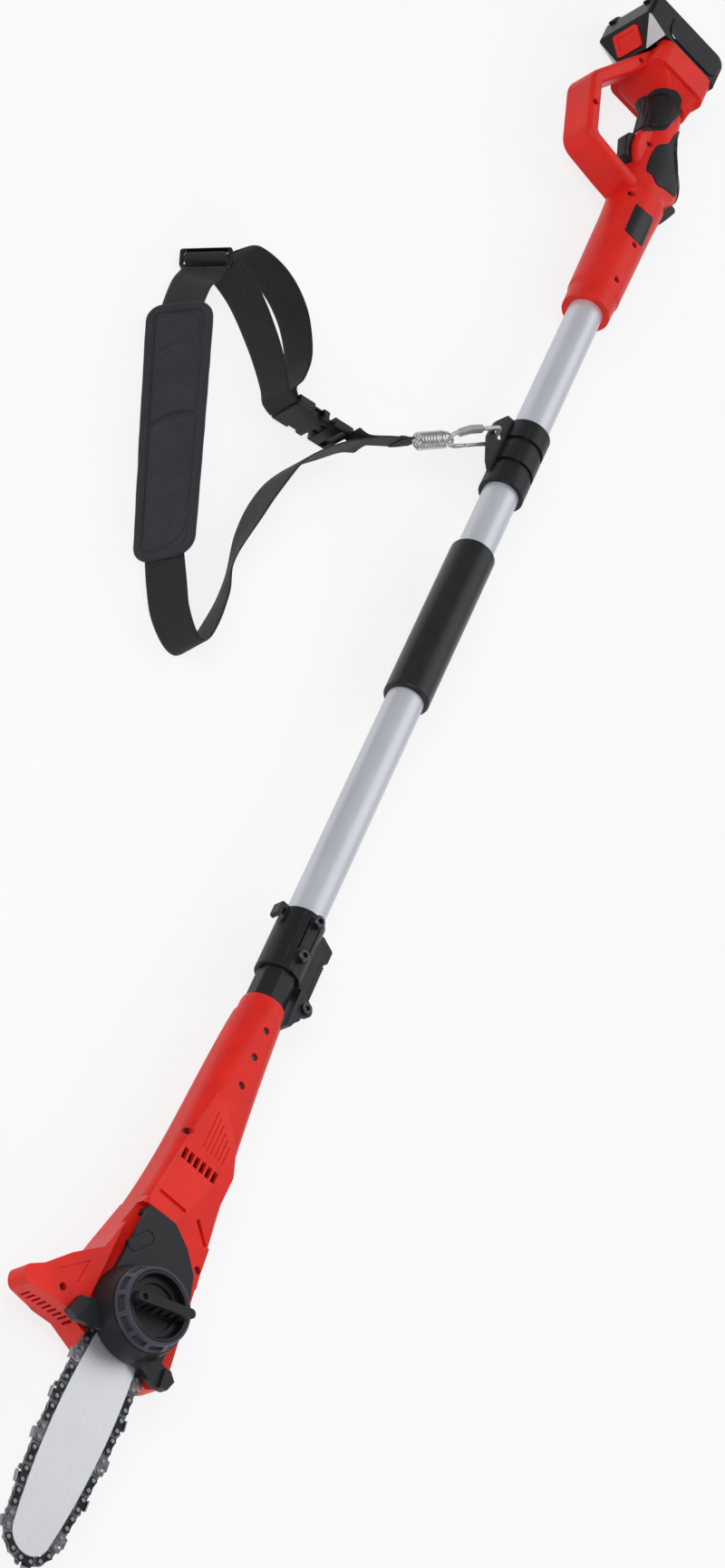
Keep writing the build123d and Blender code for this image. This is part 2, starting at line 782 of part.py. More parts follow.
def head_front(inset):
    face = make_face(Polyline(*FRONT_OUTLINE, close=True))
    tip = face.vertices().sort_by(Axis.Y)[:2]
    face = fillet(tip, HOOK_ROUND)
    if inset:
        face = offset(face, -inset)
    block = Pos(0, 0, -HEAD_HALF + inset) * extrude(face, 2 * HEAD_HALF - 2 * inset)
    rim = block.edges().group_by(Axis.Z)[0]
    block = chamfer(rim, HOOK_EDGE - inset)
    under = Pos(0, HOOK_ROOT, -HEAD_HALF) * Rot(-HOOK_SLOPE, 0, 0) * Pos(0, 0, inset - BIG / 2)
    return block - under * Box(2 * BIG, 2 * BIG, BIG)


def above_crease(z, fall):
    """Room over the sloping side: a plane that leaves the crease line at the height z."""
    start = Vector(473, -0.5, z)
    along = Vector(-46, 17.9, 0).normalized()
    down = Vector(along.Y, -along.X, 0) - Vector(0, 0, fall)
    plane = Plane(origin=start, x_dir=along, z_dir=along.cross(down) * -1)
    if plane.z_dir.Z < 0:
        plane = Plane(origin=start, x_dir=along, z_dir=along.cross(down))
    return plane.location * Pos(0, 0, BIG / 2) * Box(2 * BIG, 2 * BIG, BIG)


def head_bulge(inset):
    d = BULGE_D - 2 * inset
    z0 = REST_Z + inset
    motor_x = SPROCKET_X - gear_centres
    body = rod_z(z0, 0, d, motor_x, 0) + rod_z(z0, 0, d, SPROCKET_X, 0)
    body += box(motor_x, SPROCKET_X, -d / 2, d / 2, z0, 0)
    if not inset:
        body = fillet(body.edges().group_by(Axis.Z)[0], 5.0)
    return body


gear_centres = MODULE * (GEAR_TEETH + PINION_TEETH) / 2


def chain_pocket():
    open_side = [
        (474, -41),
        (578, -41),
        (604, -41),
        (604, 45),
        (586, 45),
        (546, 43),
        (514, 40.8),
        (497, 35),
        (480, 19),
        (469.5, -2),
        (471, -31),
    ]
    return plate(open_side, FLOOR_Z, BIG)


def head_solid():
    outer = head_taper(0) + head_front(0) + head_bulge(0)
    outer += turned([
        (COLLAR_X, NECK_D + 3.0),
        (COLLAR_X + 3, NECK_D + 4.4),
        (HEAD_X + 3, NECK_D + 4.4),
    ])
    # flat panel, from its rounded tip to the cover
    fan = plate([
        (344, -16),
        (344, -5),
        (354, 0),
        (365, 12),
        (378, 22),
        (400, 30),
        (440, 30),
        (482, 20),
        (474, -31.5),
        (424, -25.5),
        (368, -19.2),
    ], HEAD_HALF - 4, HEAD_HALF + FAN_RISE)
    fan = fillet(fan.edges().filter_by(Axis.Z).group_by(Axis.X)[0], 4.5)
    outer += fan
    outer -= above_crease(HEAD_HALF + FAN_RISE, CREASE)
    inside = head_taper(HEAD_WALL) - box(-BIG, HEAD_X + 16, -BIG, BIG, -BIG, BIG)
    inside -= box(HEAD_X + 60, HEAD_X + 64, -BIG, BIG, -BIG, BIG)
    front_room = head_front(HEAD_WALL) & box(-BIG, BIG, -BIG, BIG, -BIG, FLOOR_Z - 2.5)
    inside += front_room + head_bulge(HEAD_WALL)
    inside -= box(HEAD_X + 215, BIG, -BIG, BIG, FLOOR_Z - 2.5, BIG)
    inside -= above_crease(HEAD_HALF + FAN_RISE - HEAD_WALL - 1, CREASE)
    shell = outer - inside
    whole = outer
    for x, y, seat in HEAD_SCREWS:
        shell += rod_z(-HEAD_HALF, BIG, PILLAR_D, x, y) & whole
    shell -= rod_x(HEAD_X - 30, INNER_FRONT + GAP, INNER_D + 2 * FIT)
    shell -= rod_x(COLLAR_X - 1, HEAD_X + 14 + GAP, NECK_D + 2 * FIT)
    # pillars for the stud and the spindle
    shell += rod_z(-HEAD_HALF + 1, FLOOR_Z, 22, STUD_X, 0)
    bar_seat = plate([(530, -11), (598, -11), (598, 11), (530, 11)], FLOOR_Z - 1, BAR_Z - BAR_T / 2 - GAP)
    shell += bar_seat
    shell += rod_z(REST_Z + 1, -5, 15, SPROCKET_X, 0)
    shell -= chain_pocket() - bar_seat
    shell -= rod_z(-17, BIG, SPINDLE_D + 2 * FIT, SPROCKET_X, 0)
    shell -= rod_z(0, BIG, STUD_D + 2 * FIT, STUD_X, 0)
    shell -= Pos(STUD_X, 0, 0) * extrude(RegularPolygon(STUD_HEX / 2 + FIT, 6), STUD_HEAD)
    for x, y, seat in HEAD_SCREWS:
        shell -= rod_z(seat, BIG, RECESS_D, x, y)
    # vents, slits and the slots on the hook's front face
    for vent in range(6):
        y = -19.5 + 6.6 * vent
        shell -= box(406.5, 417, y - 2.2, y + 2.2, HEAD_HALF - 6, HEAD_HALF + 4)
    for rib in range(6):
        y = -7 + 4.4 * rib
        shell -= box(359 + 4 * rib, 396 + 0.4 * rib, y - 0.6, y + 0.6, HEAD_HALF + 0.6, HEAD_HALF + 4)
    shell -= box(453, 456.5, -26, 3, HEAD_HALF - 1.4, HEAD_HALF + 2)
    shell -= Pos(459, 25, HEAD_HALF - 2) * Rot(0, 0, 51) * Box(22, 3.4, 5)
    for slot in range(9):
        y = -84 + 5.4 * slot
        shell -= box(FRONT_X - 14, FRONT_X + 1, y - 1.2, y + 1.2, -4, 8) & hook_front_band()
    shell -= plate([(546, -54), (570, -56), (572, -78)], HEAD_HALF - 1.2, BIG)
    return shell


def hook_front_band():
    """Strip just behind the hook's front face."""
    return plate([(592, -97), (590, -70), (588, -44), (596, -18), (BIG, -18), (BIG, -97)], -BIG, BIG)


# Drive train
def gear(teeth, z0, thick, bore):
    pressure = math.radians(20)
    pitch_r = MODULE * teeth / 2
    base_r = pitch_r * math.cos(pressure)
    tip_r = pitch_r + 0.85 * MODULE
    root_r = pitch_r - 1.15 * MODULE
    half_tooth = math.pi / (2 * teeth) - BACKLASH / (4 * pitch_r) + math.tan(pressure) - pressure
    flank = []
    start_r = max(base_r, root_r)
    steps = 4
    for step in range(steps + 1):
        r = start_r + (tip_r - start_r) * step / steps
        alpha = math.acos(min(1.0, base_r / r))
        flank.append((r, half_tooth - (math.tan(alpha) - alpha)))
    points = []
    for tooth in range(teeth):
        centre = 2 * math.pi * tooth / teeth
        outline = [(root_r, -flank[0][1])] + [(r, -a) for r, a in flank]
        outline += [(r, a) for r, a in reversed(flank)] + [(root_r, flank[0][1])]
        for r, a in outline:
            points.append((r * math.cos(centre + a), r * math.sin(centre + a)))
    cleaned = [points[0]]
    for p in points[1:]:
        if math.dist(p, cleaned[-1]) > 0.01:
            cleaned.append(p)
    wheel = extrude(make_face(Polyline(*cleaned, close=True)), thick)
    return Pos(0, 0, z0) * (wheel - Cylinder(bore / 2, 4 * thick))


def drive_gear():
    wheel = gear(GEAR_TEETH, GEAR_Z, GEAR_T, SPINDLE_D + 2 * FIT)
    return Pos(SPROCKET_X, 0, 0) * wheel


def pinion():
    wheel = gear(PINION_TEETH, GEAR_Z - 0.4, GEAR_T + 0.8, SHAFT_D + 2 * FIT)
    return Pos(SPROCKET_X - gear_centres, 0, 0) * Rot(0, 0, 180 / PINION_TEETH) * wheel


def rotor_shaft():
    x = SPROCKET_X - gear_centres
    return rod_z(MOTOR_Z + 12, GEAR_Z + GEAR_T + 0.6, SHAFT_D, x, 0)


def motor_can():
    x = SPROCKET_X - gear_centres
    can = rod_z(MOTOR_Z, MOTOR_Z + MOTOR_LEN, MOTOR_D, x, 0)
    can = fillet(can.edges().group_by(Axis.Z)[0], 2.0)
    can -= rod_z(MOTOR_Z + 11, 0, SHAFT_D + 2 * FIT, x, 0)
    return can


sprocket_top = BAR_Z + 4.0


def spindle():
    return rod_z(-16, sprocket_top, SPINDLE_D, SPROCKET_X, 0)


def sprocket():
    disc_r = SPROCKET_R - RIVET_RISE - 0.4
    body = rod_z(FLOOR_Z + GAP, sprocket_top, 2 * disc_r, SPROCKET_X, 0)
    body -= rod_z(BAR_Z - GROOVE_W / 2, BAR_Z + GROOVE_W / 2, 60, SPROCKET_X, 0) - rod_z(
        0, 40, 2 * (disc_r - TANG - 1), SPROCKET_X, 0)
    for tooth in range(6):
        angle = 60 * tooth + 30
        notch = Pos(SPROCKET_X, 0, BAR_Z) * Rot(0, 0, angle) * Pos(disc_r + 0.5, 0, 0) * Cylinder(2.6, 30)
        body -= notch
    return body - rod_z(0, 40, SPINDLE_D + 2 * FIT, SPROCKET_X, 0)


# Bar and chain share one track: sprocket arc, straight, bellied side and nose arc
side_d = BAR_NOSE_X - BAR_BELLY_X
BAR_SIDE_R = (side_d ** 2 + BAR_BELLY ** 2 - BAR_NOSE_R ** 2) / (2 * (BAR_BELLY - BAR_NOSE_R))
side_y = BAR_BELLY - BAR_SIDE_R
nose_angle = math.atan2(-side_y, side_d)
link_side_r = BAR_SIDE_R + RIVET_RISE
link_nose_r = BAR_NOSE_R + RIVET_RISE
reach_x = SPROCKET_X - BAR_BELLY_X
reach = math.hypot(reach_x, side_y)
leave_angle = math.atan2(-side_y, reach_x) - math.acos((link_side_r - SPROCKET_R) / reach)
rear_len = SPROCKET_R * (math.pi - leave_angle)
line_len = math.sqrt(reach ** 2 - (link_side_r - SPROCKET_R) ** 2)
side_len = link_side_r * (leave_angle - nose_angle)
nose_len = link_nose_r * nose_angle
half_track = rear_len + line_len + side_len + nose_len
LINKS = 4 * round(2 * half_track / PITCH / 4)
link_pitch = 2 * half_track / LINKS


def track(s):
    """Point of the rivet line at the length s from the sprocket's rear."""
    s %= 2 * half_track
    mirror = 1
    if s > half_track:
        s = 2 * half_track - s
        mirror = -1
    if s < rear_len:
        angle = math.pi - s / SPROCKET_R
        x, y = SPROCKET_X + SPROCKET_R * math.cos(angle), SPROCKET_R * math.sin(angle)
    elif s < rear_len + line_len:
        run = s - rear_len
        x = SPROCKET_X + SPROCKET_R * math.cos(leave_angle) + run * math.sin(leave_angle)
        y = SPROCKET_R * math.sin(leave_angle) - run * math.cos(leave_angle)
    elif s < rear_len + line_len + side_len:
        angle = leave_angle - (s - rear_len - line_len) / link_side_r
        x = BAR_BELLY_X + link_side_r * math.cos(angle)
        y = side_y + link_side_r * math.sin(angle)
    else:
        angle = nose_angle - (s - rear_len - line_len - side_len) / link_nose_r
        x, y = BAR_NOSE_X + link_nose_r * math.cos(angle), link_nose_r * math.sin(angle)
    return x, mirror * y


def bar_outline(inset):
    """Bar's edge, moved in by inset: nose and bellied sides, then a tapering tail."""
    nose_r = BAR_NOSE_R - inset
    side_r = BAR_SIDE_R - inset
    rail = SPROCKET_R - RIVET_RISE - inset
    join = (BAR_NOSE_X + nose_r * math.cos(nose_angle), nose_r * math.sin(nose_angle))
    leave = (BAR_BELLY_X + side_r * math.cos(leave_angle), side_y + side_r * math.sin(leave_angle))
    mid_angle = (nose_angle + leave_angle) / 2
    middle = (BAR_BELLY_X + side_r * math.cos(mid_angle), side_y + side_r * math.sin(mid_angle))
    tail_x = BAR_TAIL_X + inset
    start_x = SPROCKET_X + rail * math.cos(leave_angle)
    start_y = rail * math.sin(leave_angle)
    tail_y = start_y + (tail_x - start_x) * (leave[1] - start_y) / (leave[0] - start_x)
    edges = []
    edges.append(Line((tail_x, tail_y), leave))
    edges.append(ThreePointArc(leave, middle, join))
    edges.append(ThreePointArc(join, (BAR_NOSE_X + nose_r, 0), (join[0], -join[1])))
    edges.append(ThreePointArc((join[0], -join[1]), (middle[0], -middle[1]), (leave[0], -leave[1])))
    edges.append(Line((leave[0], -leave[1]), (tail_x, -tail_y)))
    edges.append(Line((tail_x, -tail_y), (tail_x, tail_y)))
    return make_face(edges)


def guide_bar():
    low = BAR_Z - BAR_T / 2
    bar = Pos(0, 0, low) * extrude(bar_outline(0), BAR_T)
    ring = extrude(bar_outline(-2), GROOVE_W) - extrude(bar_outline(GROOVE_DEPTH), GROOVE_W)
    bar -= Pos(0, 0, BAR_Z - GROOVE_W / 2) * ring
    middle = (SLOT_X0 + SLOT_X1) / 2
    bar -= Pos(middle, 0, 0) * extrude(SlotOverall(SLOT_X1 - SLOT_X0, SLOT_W), 60)
    for side in (-1, 1):
        bar -= rod_z(0, 60, 4.5, BAR_TAIL_X + 26, side * 11)
    return bar


def link_planes(first):
    """Frames of every second link, x along the chain and y out of the loop."""
    frames = []
    for number in range(first, LINKS, 2):
        a = track(number * link_pitch)
        b = track((number + 1) * link_pitch)
        middle = ((a[0] + b[0]) / 2, (a[1] + b[1]) / 2, BAR_Z)
        frames.append(Plane(origin=middle, x_dir=(b[0] - a[0], b[1] - a[1], 0), z_dir=(0, 0, 1)))
    return frames


def chain_drive_links():
    half = link_pitch / 2
    low = -RIVET_RISE + 0.2
    outline = [
        (-half - 2.6, 2.4),
        (-half, 3.6),
        (half, 3.6),
        (half + 2.6, 2.4),
        (half + 2.6, -2.2),
        (half, low),
        (half - 1.6, low - TANG),
        (-1.0, low - TANG),
        (-half, low),
        (-half - 2.6, -2.2),
    ]
    face = make_face(Polyline(*outline, close=True))
    link = Pos(0, 0, -LINK_T / 2) * extrude(face, LINK_T)
    return Compound(children=[plane.location * link for plane in link_planes(0)])


STRAP_Z = LINK_T / 2


def strap_outline():
    half = link_pitch / 2
    low = -RIVET_RISE + 0.15
    return [
        (-half - 3.4, -1.6),
        (-half - 3.4, 1.6),
        (-half - 1.4, 3.6),
        (0, 2.6),
        (half + 1.4, 3.6),
        (half + 3.4, 1.6),
        (half + 3.4, -1.6),
        (half + 1.4, low),
        (0, low + SCOOP),
        (-half - 1.4, low),
    ]


def rivet_heads(side):
    heads = None
    for end in (-1, 1):
        head = Pos(end * link_pitch / 2, 0, side * (STRAP_Z + STRAP_T)) * extrude(RegularPolygon(2.0, 6), side * 0.7)
        heads = head if heads is None else heads + head
    return heads


def tie_strap(side):
    face = make_face(Polyline(*strap_outline(), close=True))
    strap = Pos(0, 0, side * STRAP_Z) * extrude(face, side * STRAP_T)
    return strap + rivet_heads(side)


def cutter(side):
    half = link_pitch / 2
    low = -RIVET_RISE + 0.15
    outline = [
        (-half - 3.4, -1.6),
        (-half - 3.2, 5.6),
        (1.0, 6.8),
        (1.0, 2.0),
        (2.8, 1.8),
        (3.4, 5.6),
        (half + 2.0, 5.2),
        (half + 3.4, 1.6),
        (half + 3.4, -1.6),
        (half + 1.4, low),
        (0, low + SCOOP),
        (-half - 1.4, low),
    ]
    face = make_face(Polyline(*outline, close=True))
    body = Pos(0, 0, side * STRAP_Z) * extrude(face, side * STRAP_T)
    top = make_face(Polyline((-half - 3.2, 4.4), (1.0, 5.6), (1.0, 6.8), (-half - 3.2, 5.6), close=True))
    body += Pos(0, 0, side * (STRAP_Z + STRAP_T)) * extrude(top, -side * (STRAP_T + 2.4))
    return body + rivet_heads(side)


def chain_straps():
    pieces = []
    for number, plane in enumerate(link_planes(1)):
        if number % 2:
            pieces.append(plane.location * tie_strap(1))
            pieces.append(plane.location * tie_strap(-1))
        else:
            pieces.append(plane.location * tie_strap(cutter_side(number) * -1))
    return Compound(children=pieces)


def cutter_side(number):
    return 1 if number % 4 else -1


def chain_cutters():
    pieces = []
    for number, plane in enumerate(link_planes(1)):
        if number % 2 == 0:
            pieces.append(plane.location * cutter(cutter_side(number)))
    return Compound(children=pieces)


# Cover, ring and knob
def sprocket_cover():
    cover = plate(COVER_OUTLINE, COVER_Z0, COVER_Z1)
    cover -= above_crease(COVER_Z1, COVER_FALL)
    wall = plate(COVER_OUTLINE, FLOOR_Z + GAP, COVER_Z0 + 1)
    wall_face = make_face(Polyline(*COVER_OUTLINE, close=True))
    wall -= Pos(0, 0, FLOOR_Z) * extrude(offset(wall_face, -2.4), COVER_Z0 - FLOOR_Z)
    wall -= box(480, BIG, -BIG, 10, -BIG, COVER_Z0)
    wall -= box(560, BIG, -BIG, BIG, -BIG, COVER_Z0)
    cover += wall
    # front arms on both sides of the bar, with thick ends
    cover += plate([
        (570, -30),
        (580.5, -52),
        (598, -57),
        (600, -48),
        (589, -12),
        (578, -8),
    ], COVER_Z0, COVER_Z1 + 1)
    cover += plate([
        (576, 18),
        (583, 46),
        (589, 53),
        (599, 50),
        (602, 40),
        (594, 14),
        (584, 8),
    ], COVER_Z0, COVER_Z1 + 1)
    cover += plate([(580.5, -52), (598, -57), (600, -48), (583, -43)], COVER_Z0, COVER_Z1 + ARM_RISE)
    cover += plate([(583, 46), (589, 53), (599, 50), (601, 43), (584, 41)], COVER_Z0, COVER_Z1 + ARM_RISE)
    boss = Pos(STUD_X, 0, COVER_Z0) * extrude(Circle(BOSS_D / 2 + 3), BOSS_TOP - COVER_Z0, taper=BOSS_DRAFT)
    cover += boss
    cover += plate([(548, -9), (572, -9), (572, 9), (548, 9)], BAR_Z + BAR_T / 2 + GAP, COVER_Z0 + 1)
    cover -= rod_z(0, BIG, STUD_D + 2 * FIT, STUD_X, 0)
    cover -= rod_z(COVER_Z1 + 2, BIG, 2 * HUB_R + 2 * GAP, STUD_X, 0)
    # room over the sprocket
    cover -= rod_z(0, sprocket_top + GAP, 2 * SPROCKET_R + 2 * GAP, SPROCKET_X, 0)
    # finger pad pressed into the top
    cover -= Pos(505.5, -24, COVER_Z1 - 1) * Rot(0, 0, -35) * extrude(SlotOverall(28, 12), 4)
    cover += Pos(505.5, -24, COVER_Z0) * Rot(0, 0, -35) * extrude(SlotOverall(26.4, 10.4), COVER_Z1 - COVER_Z0)
    return cover


HUB_R = 10.0
BOSS_DRAFT = 12.0


def bar_stud():
    shank = rod_z(0, BOSS_TOP + 3, STUD_D, STUD_X, 0)
    return shank + Pos(STUD_X, 0, 0) * extrude(RegularPolygon(STUD_HEX / 2, 6), STUD_HEAD)


def tension_ring():
    base_z = BOSS_TOP + 2 * GAP
    high = RING_TOP - base_z
    draft = math.degrees(math.atan((RING_D - RING_RIM_D) / 2 / high))
    cone = Pos(STUD_X, 0, base_z) * extrude(Circle(RING_D / 2), high, taper=draft)
    ring = cone & rod_z(0, BIG, RING_D - 2 * RING_WINDOW, STUD_X, 0)
    ring += cone & rod_z(base_z, base_z + RING_FLANGE, 2 * RING_D, STUD_X, 0)
    ring += cone & rod_z(RING_TOP - RING_FLANGE, RING_TOP, 2 * RING_D, STUD_X, 0)
    for rib in range(RING_NOTCHES):
        ring += cone & (Pos(STUD_X, 0, 0) * Rot(0, 0, 360 * (rib + 0.5) / RING_NOTCHES) * box(
            RING_BORE / 2, RING_D, -RING_RIB / 2, RING_RIB / 2, base_z, RING_TOP))
    return ring - rod_z(0, BIG, RING_BORE, STUD_X, 0)


def clamp_knob():
    base_z = BOSS_TOP + 2 * GAP
    cup_d = RING_BORE - 2 * 0.4
    knob = rod_z(base_z, RING_TOP, cup_d, STUD_X, 0)
    knob -= rod_z(CUP_FLOOR, BIG, cup_d - 2 * CUP_WALL, STUD_X, 0)
    knob += rod_z(base_z, CUP_FLOOR + 2, cup_d - 10, STUD_X, 0) - rod_z(0, BIG, cup_d - 18, STUD_X, 0)
    knob += rod_z(COVER_Z1 + 2 + GAP, base_z + 1, 2 * HUB_R, STUD_X, 0)
    # wing: wide at its foot, narrow at its crest, with ribs for the fingers
    wing_l = cup_d - 2
    high = WING_TOP - CUP_FLOOR + 1
    wing = loft([
        RectangleRounded(wing_l, WING_FOOT, WING_FOOT / 2 - 0.3),
        Pos(2, 0, high) * RectangleRounded(wing_l + 1, WING_T, WING_T / 2 - 0.3),
    ], ruled=True)
    for rib in range(WING_RIBS):
        x = (rib - (WING_RIBS - 1) / 2) * wing_l / (WING_RIBS + 2)
        for side in (-1, 1):
            wing -= Pos(x, side * (WING_FOOT + WING_T) / 4, high / 2 + 1) * Box(3, 3.4, high - 6)
    wing -= Pos(-wing_l / 2 + WING_FOOT / 2, 0, high - 1) * Cylinder(WING_T / 3, 3)
    knob += Pos(STUD_X, 0, CUP_FLOOR - 1) * Rot(0, 0, WING_ANGLE) * wing
    knob -= rod_z(0, BOSS_TOP + 3 + GAP, STUD_D + 2 * FIT, STUD_X, 0)
    return knob


# Strap: it hangs from the bracket's eye and lies on the ground, the webbing on its edge
WEB_Z0 = REST_Z + 0.6
eye = Vector(eye_x, eye_y, 0)


def from_eye(x, y):
    return Vector(eye_x + x, eye_y + y)


def at(x, y, lift, lean):
    """Station of a ribbon, its place taken from the eye."""
    return (eye_x + x, eye_y + y, lift, lean)


def curve_through(stations, parts):
    """Stations with parts steps between each two, on a Catmull-Rom curve."""
    ends = [stations[0]] + stations + [stations[-1]]
    rows = []
    for k in range(1, len(ends) - 2):
        a, b, c, d = ends[k - 1:k + 3]
        for step in range(parts):
            t = step / parts
            rows.append(tuple(
                0.5 * (2 * q + (r - p) * t + (2 * p - 5 * q + 4 * r - s) * t * t + (3 * q - p - 3 * r + s) * t ** 3)
                for p, q, r, s in zip(a, b, c, d)))
    return rows + [stations[-1]]


def ribbon(stations, wide, parts=3, start=None, end=None):
    """Webbing through stations: place, height of its lower edge and lean to its left."""
    rows = []
    for x, y, lift, lean in curve_through(stations, parts):
        height = WEB_Z0 + lift + wide / 2 * math.cos(math.radians(lean))
        rows.append((Vector(x, y, height), math.radians(lean)))
    sections = []
    for k, (centre, lean) in enumerate(rows):
        ahead = rows[min(k + 1, len(rows) - 1)][0] - rows[max(k - 1, 0)][0]
        if start and k == 0:
            ahead = start
        if end and k == len(rows) - 1:
            ahead = end
        left = Vector(0, 0, 1).cross(ahead).normalized()
        up = Vector(0, 0, math.cos(lean)) + left * math.sin(lean)
        sections.append(Plane(origin=centre, x_dir=up, z_dir=ahead) * Rectangle(wide, WEB_T))
    return loft(sections, ruled=True)


PAD_A = from_eye(155, -328)
PAD_B = from_eye(375, -237)
SLIDER = from_eye(80, -327)
BUCKLE_A = from_eye(144, -197)
BUCKLE_B = from_eye(127, -131)
TAIL_END = from_eye(92, -84)
pad_dir = (PAD_B - PAD_A).normalized()
pad_mid = (PAD_A + PAD_B) * 0.5
pad_left = Vector(-pad_dir.Y, pad_dir.X)
# The rings, the spring and the carabiner lie in line from the webbing's tail to the eye
hang_dir = (eye - TAIL_END).normalized()
hang_side = hang_dir.cross(Vector(0, 0, 1))
wire_lean = math.radians(CARABINER_LEAN)
eye_reach = FIN_T / 2 * math.tan(wire_lean) + CARABINER_WIRE / 2 / math.cos(wire_lean)
eye_room = math.sqrt((EYE_D / 2) ** 2 - eye_reach ** 2) - (CARABINER_WIRE + GAP) / 2
hook = eye - hang_dir * eye_room
ring_b = hook - hang_dir * (CARABINER_L + RING_OUT / 2 - RING_WIRE - GAP - CARABINER_WIRE / 2)
nest = math.sqrt((RING_OUT / 2) ** 2 - (SPRING_D / 2 - SPRING_WIRE - GAP) ** 2)
spring_len = SPRING_COILS * SPRING_PITCH
ring_a = ring_b - hang_dir * (2 * nest + spring_len + SPRING_WIRE - SPRING_PITCH / 5)
spring_mid = ring_a + hang_dir * (nest + spring_len / 2 + SPRING_WIRE / 2 - SPRING_PITCH / 5)
buckle_dir = (BUCKLE_B - BUCKLE_A).normalized()
buckle_side = Vector(-buckle_dir.Y, buckle_dir.X)
tail_stop = ring_a - hang_dir * (RING_OUT / 2 + GAP)
tail_start = BUCKLE_B - buckle_dir * 2.4
tail_bend = tail_start + buckle_dir * 13.0
tail_dir = (tail_stop - tail_bend).normalized()
tail_side = Vector(-tail_dir.Y, tail_dir.X)
sewn = tail_bend + tail_dir * 8.0 - tail_side * (WEB_T + 2 * GAP)
web_in = BUCKLE_A + buckle_dir * 2.4 - buckle_side * 2.2
web_out = BUCKLE_A + buckle_dir * 2.4 + buckle_side * 2.2
slider_dir = Vector(-0.92, -0.38)
SLIDER_LEAN = 42.0
SLIDER_L = 18.0
SLIDER_W = WEB_W + 9.0


def pad_half_width(end):
    """Half width at a distance from the pad's end: round corners that stop at the webbing."""
    full = PAD_W / 2
    cut = full - math.sqrt(full ** 2 - (WEB_W / 2) ** 2)
    into = min(full, end + cut)
    return math.sqrt(full ** 2 - (full - into) ** 2)


def shoulder_pad():
    """Cushion with a crown on each face, drawn in at its sewn edge and across its middle."""
    stations = [0.0, 3.0, 9.0, 18.0, 31.0, 60.0, PAD_L / 2 - 12, PAD_L / 2 - 5, PAD_L / 2]
    stations += [PAD_L - s for s in reversed(stations[:-1])]
    faces = []
    for along in stations:
        share = along / PAD_L
        lean = math.radians(PAD_LEAN[0] + (PAD_LEAN[1] - PAD_LEAN[0]) * share)
        up = Vector(0, 0, math.cos(lean)) + pad_left * math.sin(lean)
        end = min(along, PAD_L - along)
        half = pad_half_width(end)
        swell = min(1.0, 0.45 + end / 30)
        crease = 0.3 * max(0.0, 1 - abs(along - PAD_L / 2) / 9)
        thick = (PAD_T - PAD_RIM) / 2 * (swell - crease) + PAD_RIM / 2
        place = pad_mid + pad_dir * (along - PAD_L / 2)
        plane = Plane(origin=(place.X, place.Y, pad_height(lean)), x_dir=up, z_dir=pad_dir)
        rim = PAD_RIM / 2
        faces.append(plane * make_face([
            ThreePointArc((-half, -rim), (0, -thick), (half, -rim)),
            Line((half, -rim), (half, rim)),
            ThreePointArc((half, rim), (0, thick), (-half, rim)),
            Line((-half, rim), (-half, -rim)),
        ]))
    return loft(faces, ruled=True)


def pad_height(lean):
    return WEB_Z0 + PAD_W / 2 * math.cos(lean) + PAD_RIM / 2 * math.sin(lean)


def web_lift(lean):
    """Lower edge of the webbing where it leaves the middle of the pad's end."""
    return pad_height(lean) - WEB_W / 2 * math.cos(lean) - WEB_Z0


def web_lower():
    start = pad_mid + pad_dir * (PAD_L / 2 + GAP)
    lean = PAD_LEAN[1]
    sewn_end = sewn - tail_dir * 14
    return ribbon([
        (start.X, start.Y, web_lift(math.radians(lean)), lean),
        at(394, -218, 6, 24),
        at(412, -201, 2, 20),
        at(425, -181, 0, 10),
        at(423, -168, 0, 2),
        at(404, -164, 0, 2),
        at(366, -164, 0, 12),
        at(328, -169, 0, 25),
        at(277, -173, 0, 2),
        at(228, -170, 0, -6),
        at(187, -160, 1, 0),
        at(151, -139, 5, 4),
        (sewn_end.X, sewn_end.Y, 9, 0),
        (sewn.X, sewn.Y, 12, 0),
    ], WEB_W, start=pad_dir, end=tail_dir)


def web_upper():
    start = pad_mid - pad_dir * (PAD_L / 2 + GAP)
    lean = -PAD_LEAN[0]
    slider_end = SLIDER - slider_dir * (SLIDER_L / 2 + GAP)
    return ribbon([
        (start.X, start.Y, web_lift(math.radians(-lean)), lean),
        at(121, -329, 8, -37),
        at(102, -325, 6, -SLIDER_LEAN),
        (slider_end.X, slider_end.Y, 5.5, -SLIDER_LEAN),
    ], WEB_W, start=pad_dir * -1, end=slider_dir)


def web_inner():
    return ribbon([
        at(76.5, -310.8, 4, 8),
        at(82, -276, 0, 8),
        at(108, -238, 0, 4),
        at(130, -215, 0, 0),
        at(142, -206, 0, 0),
        (web_in.X, web_in.Y, 0, 0),
    ], WEB_W)


def web_outer():
    return ribbon([
        at(66.5, -315, 4, -5),
        at(43, -294, 0, 6),
        at(40, -260, 0, 6),
        at(57, -227, 0, 4),
        at(90, -203, 0, 0),
        at(118, -198, 0, 0),
        at(134, -201, 0, 0),
        (web_out.X, web_out.Y, 0, 0),
    ], WEB_W)


def web_tail():
    lift = -TAIL_W / 2 - WEB_Z0
    return ribbon([
        (tail_start.X, tail_start.Y, lift, 0),
        (tail_bend.X, tail_bend.Y, lift, 0),
        ((tail_bend.X + tail_stop.X) / 2, (tail_bend.Y + tail_stop.Y) / 2, lift, 0),
        (tail_stop.X, tail_stop.Y, lift, 0),
    ], TAIL_W)


